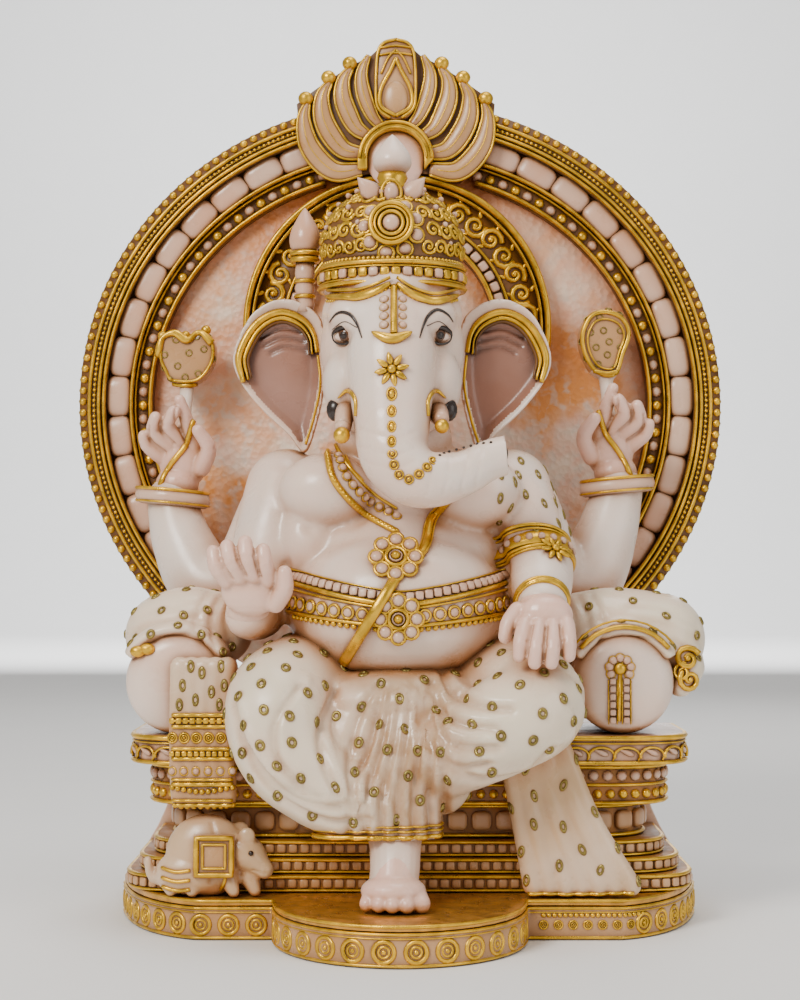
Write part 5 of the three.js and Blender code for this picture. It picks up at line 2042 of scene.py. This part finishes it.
def make_bolsters():
    gold, pale, ring = drawings(3)
    for sign, side in SIDES:
        low, high = box_mm(f"bolster_{side}")
        centre = vec((low.x + high.x) / 2, 0, (low.z + high.z) / 2)
        radius = (high.z - low.z) / 2
        bm = bmesh.new()
        profile = [(0.01, -high.y), (radius - 8, -high.y), (radius - 3, -high.y + 3), (radius, -high.y + 9)]
        profile += [(radius, -low.y - 14), (radius - 1.5, -low.y - 7), (radius - 5, -low.y - 3)]
        profile += [(radius - 12, -low.y - 0.8), (radius * 0.3, -low.y - 0.1), (0.01, -low.y)]
        turned(bm, centre, profile, axis="Y", steps=56)
        carved(bm, f"bolster_{side}", "white_marble", "marble")

        cloth_low, cloth_high = box_mm(f"bolster_cloth_{side}")
        cz, thick = (cloth_low.z + cloth_high.z) / 2, (cloth_high.z - cloth_low.z) / 2
        reach = max(abs(cloth_low.x), abs(cloth_high.x)) - thick
        bm = bmesh.new()
        limb(
            bm, (sign * 120, -4, cz + 1, thick * 0.86), (sign * 138, -6, cz + 1.5, thick * 0.95),
            (sign * reach, -4, cz - 3, thick * 0.96), sides=28
        )
        rim = radius + 1
        turns = [radians(28 + 124 * k / 12) for k in range(13)]
        arc = [(vec(centre.x + rim * cos(t), low.y + 12, centre.z + rim * sin(t)), FRONT) for t in turns]
        wire(bm, arc, 5.5, 13, 10)
        if side == "right":
            limb(
                bm, (reach + 4, -14, cz - 8, 20), (reach + 15, -24, cz - 20, 13),
                (reach + 10, -30, cz - 32, 8), sides=18
            )
        melt(bm, 1.9, 9)
        skin = Skin(bm)
        for dx in (0, 9, 18):
            line = [(sign * (106 + dx), cz + 26), (sign * (112 + dx), cz + 8), (sign * (108 + dx), cz - 8)]
            skin.press(line, 2.6, 1.6)
        for rise in (-4, 6, 15):
            line = [
                (sign * (reach - 22), cz + rise + 3), (sign * (reach + 2), cz + rise),
                (sign * (reach + 22), cz + rise - 9)
            ]
            skin.press(line, 3, 0.9)
        skin = Skin(bm)
        dots(bm, ring, 3, 15.5, 31 + sign, lambda p, n: n.z > -0.15 and p.z > cz - 14 and abs(p.x) > 96)
        hem = [
            (p + vec(0, -12.6, 0) + vec(p.x - centre.x, 0, p.z - centre.z).normalized() * 1.5, n)
            for p, n in arc
        ]
        if side == "right":
            hem = hem[1:-1]
            wire(gold, hem, 1.7, 1.8)
            outer = [(p + vec(p.x - centre.x, 0, p.z - centre.z).normalized() * 4.2, n) for p, n in hem]
            wire(gold, [(p - FRONT * 1.5, n) for p, n in outer], 0.8, 1.3)
        carved(bm, f"bolster_cloth_{side}", "cloth_marble", "cloth")

        if side == "right":
            face = lambda dx, dz: vec(centre.x + dx, low.y - 0.2, centre.z + dz)
            for k in range(7):
                turn = radians(-30 + 240 * k / 6)
                spot = face(-3 + 6.6 * cos(turn), 9 + 6.6 * sin(turn))
                stud(pale, "bead", spot, FRONT, 2.9, 2.2)
                stud(gold, "rings", spot, FRONT, 3.5, 1.5)
            stud(gold, "pearl", face(-3, 9), FRONT, 4, 2.8)
            wire(gold, [(face(-3, 6), FRONT), (face(-3.5, -8), FRONT), (face(-4, -24), FRONT)], 1.5, 1.8)
            for dx in (-7.6, 1):
                for k in range(6):
                    spot = face(dx, 1 - 4.9 * k)
                    stud(pale, "block", spot, FRONT, (2, 2, 1.6))
                wire(gold, [(face(dx + 2.7, 2), FRONT), (face(dx + 2.7, -26), FRONT)], 0.5, 1, 5)
                wire(gold, [(face(dx - 2.7, 2), FRONT), (face(dx - 2.7, -26), FRONT)], 0.5, 1, 5)
            tip = vec(reach + 14, -37, cz - 22)
            for turn, size, dx, dz in ((0.4, 15, 0, 8), (2.4, 13, 1, -6), (1.2, 11, -4, -1)):
                place, normal = skin.nearest(tip + vec(dx, 0, dz))
                stud(gold, "scroll", place, normal, size, 14, turn=turn)
        else:
            place, normal = skin.front(-166, cz - 12)
            for dx, dz in ((0, 0), (6, 1.5)):
                ball(gold, place + vec(dx, 0, dz), (5.2, 4, 3.8), 12)
    gild(gold, "bolster_gilding")
    ring_work(ring, "bolster_rings")
    pearl_work(pale, "bolster_pearls")


class IDOL_OT_bolsters(bpy.types.Operator):
    """Carve the two bolsters and the cloths thrown over them"""

    bl_idname = "idol.bolsters"
    bl_label = "Bolsters and Cloths"

    def execute(self, context):
        make_bolsters()
        return {"FINISHED"}


def make_cloth_falls():
    gold, pale, ring = drawings(3)
    low, high = box_mm("cloth_fall_left")
    bm = bmesh.new()
    for i in range(5):
        x = low.x + 4.5 + i * (high.x - low.x - 9) / 4
        limb(
            bm, (x, low.y + 6, high.z + 4, 6.4), (x - 0.5, low.y + 5, SEAT - 6, 6.2),
            (x + 0.5, low.y + 5.5, low.z + 6, 6), sides=14
        )
    melt(bm, 1.5, 5)
    skin = Skin(bm)
    across = lambda z, sag=0: skin.lay(
        [(low.x + 0.8, z + sag), ((low.x + high.x) / 2, z - sag), (high.x - 0.8, z + sag)], 1.5, 0.3
    )
    for z, width in (
        (139.5, 1.5), (136, 0.8), (132.4, 1.5), (118.6, 1.4), (112.4, 1.4), (99.4, 1.1), (96.4, 1.6),
        (86.5, 1), (83.6, 1.5)
    ):
        wire(gold, across(z), width, 1.6)
    string(gold, across(136), 4.4, 1.9, "block", 1.8)
    string(gold, across(115.5), 4, 1.7, "block", 1.6)
    string(gold, across(125.4), 8.4, 3.7, "rosette", 2.4)
    string(pale, across(104.6), 8, 2.4, "bead", 1.8)
    string(gold, across(104.6), 8, 3.2, "rings", 1.6)
    string(gold, across(93.2, 1.4), 4, 2, "bead", 1.8)
    string(gold, across(82.4, 1.2), 4.4, 2, "bead", 1.8)
    for x, z in (
        (-136, 158), (-112, 170), (-124, 166), (-118, 154), (-131, 170), (-128, 149), (-110, 158),
        (-138, 146), (-113, 146)
    ):
        spot = skin.front(x, z)
        if spot:
            stud(ring, "ring", *spot, (2.5, 4.4, 2.2))
    paint(bm, lambda face: face.calc_center_median().z < 138)
    carved(bm, "cloth_fall_left", "cloth_marble", "drape lotus")

    low, high = box_mm("cloth_fall_right")
    bm = bmesh.new()
    foot_z = low.z + 4.4
    for i in range(7):
        share = i / 6
        top_x, mid_x, foot_x = 66 + 36 * share, 76 + 44 * share, 83 + 62 * share
        swing = 1.6 if i % 2 else -0.6
        limb(
            bm, (top_x, low.y + 5 + swing, SEAT - 6, 5.4), (mid_x, low.y + 4.5 - swing, SEAT - 52, 6.6),
            (foot_x, low.y + 5 + swing * 0.5, foot_z + 2.5, 6.4), sides=14
        )
    ball(bm, (112, low.y + 7, foot_z + 8), (34, 5.5, 9), 20)
    ball(bm, (94, low.y + 7, SEAT - 46), (22, 5.5, 30), 20)
    melt(bm, 1.6, 5)
    cut_off(bm, (0, 0, low.z + 0.3), (0, 0, -1))
    skin = Skin(bm)
    dots(bm, ring, 2.5, 16.5, 47, lambda p, n: n.y < -0.35 and p.z > low.z + 9, long=1.7)
    hem = skin.lay([(80, low.z + 3), (112, low.z + 2.6), (146, low.z + 3.4)], 2, 0.3)
    wire(gold, hem, 1.3, 1.4)
    carved(bm, "cloth_fall_right", "cloth_marble", "drape")
    gild(gold, "cloth_fall_gilding")
    ring_work(ring, "cloth_fall_rings")
    pearl_work(pale, "cloth_fall_pearls")


class IDOL_OT_cloth_falls(bpy.types.Operator):
    """Carve the two cloths that fall over the throne's front"""

    bl_idname = "idol.cloth_falls"
    bl_label = "Cloth Falls"

    def execute(self, context):
        make_cloth_falls()
        return {"FINISHED"}


def make_mouse():
    low, high = box_mm("mouse")
    x, y = -122, -46
    bm = bmesh.new()
    ball(bm, (x, y, low.z + 25), (26, 13.5, 26), 28)
    ball(bm, (x - 8, y - 1, low.z + 15), (24, 13.5, 15), 24)
    limb(
        bm, (x + 12, y + 2, low.z + 30, 12.5), (x + 26, y - 3, low.z + 26, 11.5),
        (x + 37, y - 7, low.z + 17, 6), sides=18
    )
    ball(bm, (x + 21, y + 3, low.z + 39), (6.5, 3.4, 7), 14)
    ball(bm, (x + 26, y - 9, low.z + 37.5), (6, 3, 6.5), 14)
    for dx, dy in ((-26, -4), (-12, -9), (14, -10), (27, -6)):
        limb(bm, (x + dx, y + dy + 4, low.z + 12, 7), (x + dx + 4, y + dy, low.z + 3.6, 4), sides=12)
    limb(
        bm, (x - 22, y + 4, low.z + 8, 4), (x - 34, y + 2, low.z + 10, 3.2), (x - 37, y, low.z + 22, 2.8),
        sides=10
    )
    melt(bm, 1.2, 5)
    cut_off(bm, (0, 0, low.z + 0.2), (0, 0, -1))
    skin = Skin(bm)
    skin.press([(x + 4, low.z + 46), (x + 8, low.z + 30), (x + 4, low.z + 10)], 1.8, 1.2)
    skin.press([(x + 30, low.z + 17), (x + 38, low.z + 15)], 0.9, 0.8)
    skin = Skin(bm)
    carved(bm, "mouse", "cloth_marble", "drape")
    gold, eye = drawings(2)
    spot = skin.front(x + 29, low.z + 28)
    ball(eye, spot[0], 1.7, 10)
    finish_piece(eye, "mouse_eye", "white_marble", "ink")

    low, high = box_mm("mouse_saddle")
    dress("mouse_saddle", "mouse_saddle_cloth", "rose_marble", "lotus", 1.2, 3)
    corners = (
        (low.x + 2, low.z + 2), (high.x - 2, low.z + 2), (high.x - 2, high.z - 2), (low.x + 2, high.z - 2)
    )
    for inset, width, height in ((0, 1.9, 2), (4.6, 1, 1.2)):
        ring = []
        for (ax, az), (bx, bz) in zip(corners, corners[1:] + corners[:1]):
            for k in range(6):
                px, pz = ax + (bx - ax) * k / 6, az + (bz - az) * k / 6
                mx, mz = (low.x + high.x) / 2, (low.z + high.z) / 2
                shrink = 1 - inset / ((high.x - low.x) / 2)
                ring.append((vec(mx + (px - mx) * shrink, low.y - 0.2, mz + (pz - mz) * shrink), FRONT))
        wire(gold, ring, width, height, closed=True)
    for rise in (6, 12, 18):
        band = skin.lay([(x - 27, rise + 26), (x - 18, rise + 24), (x - 9, rise + 25)], 1.5, 0.3)
        wire(gold, band, 1.2, 1.4)
    neck = skin.lay([(x + 9, low.z + 12), (x + 13, low.z), (x + 10, low.z - 8)], 1.5, 0.4)
    wire(gold, neck, 1.2, 1.4)
    gild(gold, "mouse_gilding")


class IDOL_OT_mouse(bpy.types.Operator):
    """Carve the mouse beside the throne, under its gilded saddle"""

    bl_idname = "idol.mouse"
    bl_label = "Mouse"

    def execute(self, context):
        make_mouse()
        return {"FINISHED"}


def make_dowels():
    for name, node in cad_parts.items():
        if name.endswith("_dowel") or "_dowel_" in name:
            node.data.materials.clear()
            node.data.materials.append(FINISHES["steel"])


class IDOL_OT_dowels(bpy.types.Operator):
    """Give the hidden steel dowels their finish"""

    bl_idname = "idol.dowels"
    bl_label = "Dowels"

    def execute(self, context):
        make_dowels()
        return {"FINISHED"}


# ---- stage


def make_stage(context):
    scene = context.scene
    bm = bmesh.new()
    bmesh.ops.create_grid(bm, x_segments=1, y_segments=1, size=6.0, matrix=Matrix.Translation((0, 1.5, 0)))
    back = [edge for edge in bm.edges if all(vert.co.y > 7 for vert in edge.verts)]
    rise = bmesh.ops.extrude_edge_only(bm, edges=back)["geom"]
    bmesh.ops.translate(bm, vec=(0, 0, 6), verts=only(rise, bmesh.types.BMVert))
    ease(bm, [edge for edge in bm.edges if edge.is_manifold], 2.2, 14)
    for face in bm.faces:
        face.smooth = True
    mesh = bpy.data.meshes.new("floor")
    bm.to_mesh(mesh)
    bm.free()
    floor = bpy.data.objects.new("floor", mesh)
    scene.collection.objects.link(floor)
    mesh.materials.append(FINISHES["paper"])

    world = bpy.data.worlds.new("studio")
    world.use_nodes = True
    world.node_tree.nodes["Background"].inputs["Color"].default_value = (1.0, 0.975, 0.94, 1)
    world.node_tree.nodes["Background"].inputs["Strength"].default_value = 0.44
    scene.world = world

    aim = vec(0, 0, 0.28)
    lamps = (
        ("key", (-1.0, -1.5, 1.4), 40.0, 0.7, (1.0, 0.955, 0.89)),
        ("fill", (1.5, -1.3, 0.7), 9.0, 1.2, (1.0, 0.975, 0.95)),
        ("top", (0.2, -0.2, 1.9), 12.0, 0.9, (1.0, 0.99, 0.97)),
        ("back", (0.4, 1.7, 1.3), 10.0, 1.2, (1.0, 0.98, 0.95)),
        ("wall", (0.0, 3.4, 2.2), 290.0, 3.0, (0.98, 0.99, 1.0))
    )
    for name, place, power, size, tint in lamps:
        light = bpy.data.lights.new(name, "AREA")
        light.energy, light.size, light.color = power, size, tint
        lamp = bpy.data.objects.new(name, light)
        lamp.location = place
        target = vec(0, 7.0, 1.4) if name == "wall" else aim
        lamp.rotation_euler = (target - lamp.location).to_track_quat("-Z", "Y").to_euler()
        scene.collection.objects.link(lamp)

    lens = bpy.data.cameras.new("camera")
    lens.lens = 71.2
    lens.sensor_width = 36.0
    camera = bpy.data.objects.new("camera", lens)
    camera.location = (0.0, -1.3, 0.233)
    camera.rotation_euler = (radians(91.9), 0, 0)
    scene.collection.objects.link(camera)
    scene.camera = camera


class IDOL_OT_stage(bpy.types.Operator):
    """Lay a pale floor, hang soft studio lights and set the camera"""

    bl_idname = "idol.stage"
    bl_label = "Stage"

    def execute(self, context):
        make_stage(context)
        return {"FINISHED"}


# ---- panel and registration

OPERATORS = (
    IDOL_OT_plinth, IDOL_OT_throne, IDOL_OT_halo, IDOL_OT_aureole, IDOL_OT_crest, IDOL_OT_body,
    IDOL_OT_jewellery, IDOL_OT_head, IDOL_OT_ears, IDOL_OT_crown, IDOL_OT_hands, IDOL_OT_emblems,
    IDOL_OT_dhoti, IDOL_OT_bolsters, IDOL_OT_cloth_falls, IDOL_OT_mouse, IDOL_OT_dowels, IDOL_OT_stage
)


class IDOL_PT_panel(bpy.types.Panel):
    """The idol's settings and the pieces it is made of"""

    bl_idname = "IDOL_PT_panel"
    bl_label = "Ganesha Idol"
    bl_space_type = "VIEW_3D"
    bl_region_type = "UI"
    bl_category = "Idol"

    def draw(self, context):
        for settings in (context.scene.idol_sizes, context.scene.idol_colours):
            box = self.layout.box()
            for name in settings.__annotations__:
                box.prop(settings, name)
        for operator in OPERATORS:
            self.layout.operator(operator.bl_idname)


CLASSES = (IdolSizes, IdolColours, *OPERATORS, IDOL_PT_panel)


def register():
    for cls in CLASSES:
        bpy.utils.register_class(cls)
    bpy.types.Scene.idol_sizes = PointerProperty(type=IdolSizes)
    bpy.types.Scene.idol_colours = PointerProperty(type=IdolColours)


def unregister():
    del bpy.types.Scene.idol_colours
    del bpy.types.Scene.idol_sizes
    for cls in reversed(CLASSES):
        bpy.utils.unregister_class(cls)


def main():
    register()
    make_finishes(bpy.context.scene.idol_colours)
    make_stamps()
    for operator in OPERATORS:
        group, name = operator.bl_idname.split(".")
        getattr(getattr(bpy.ops, group), name)()


if __name__ == "__main__":
    main()
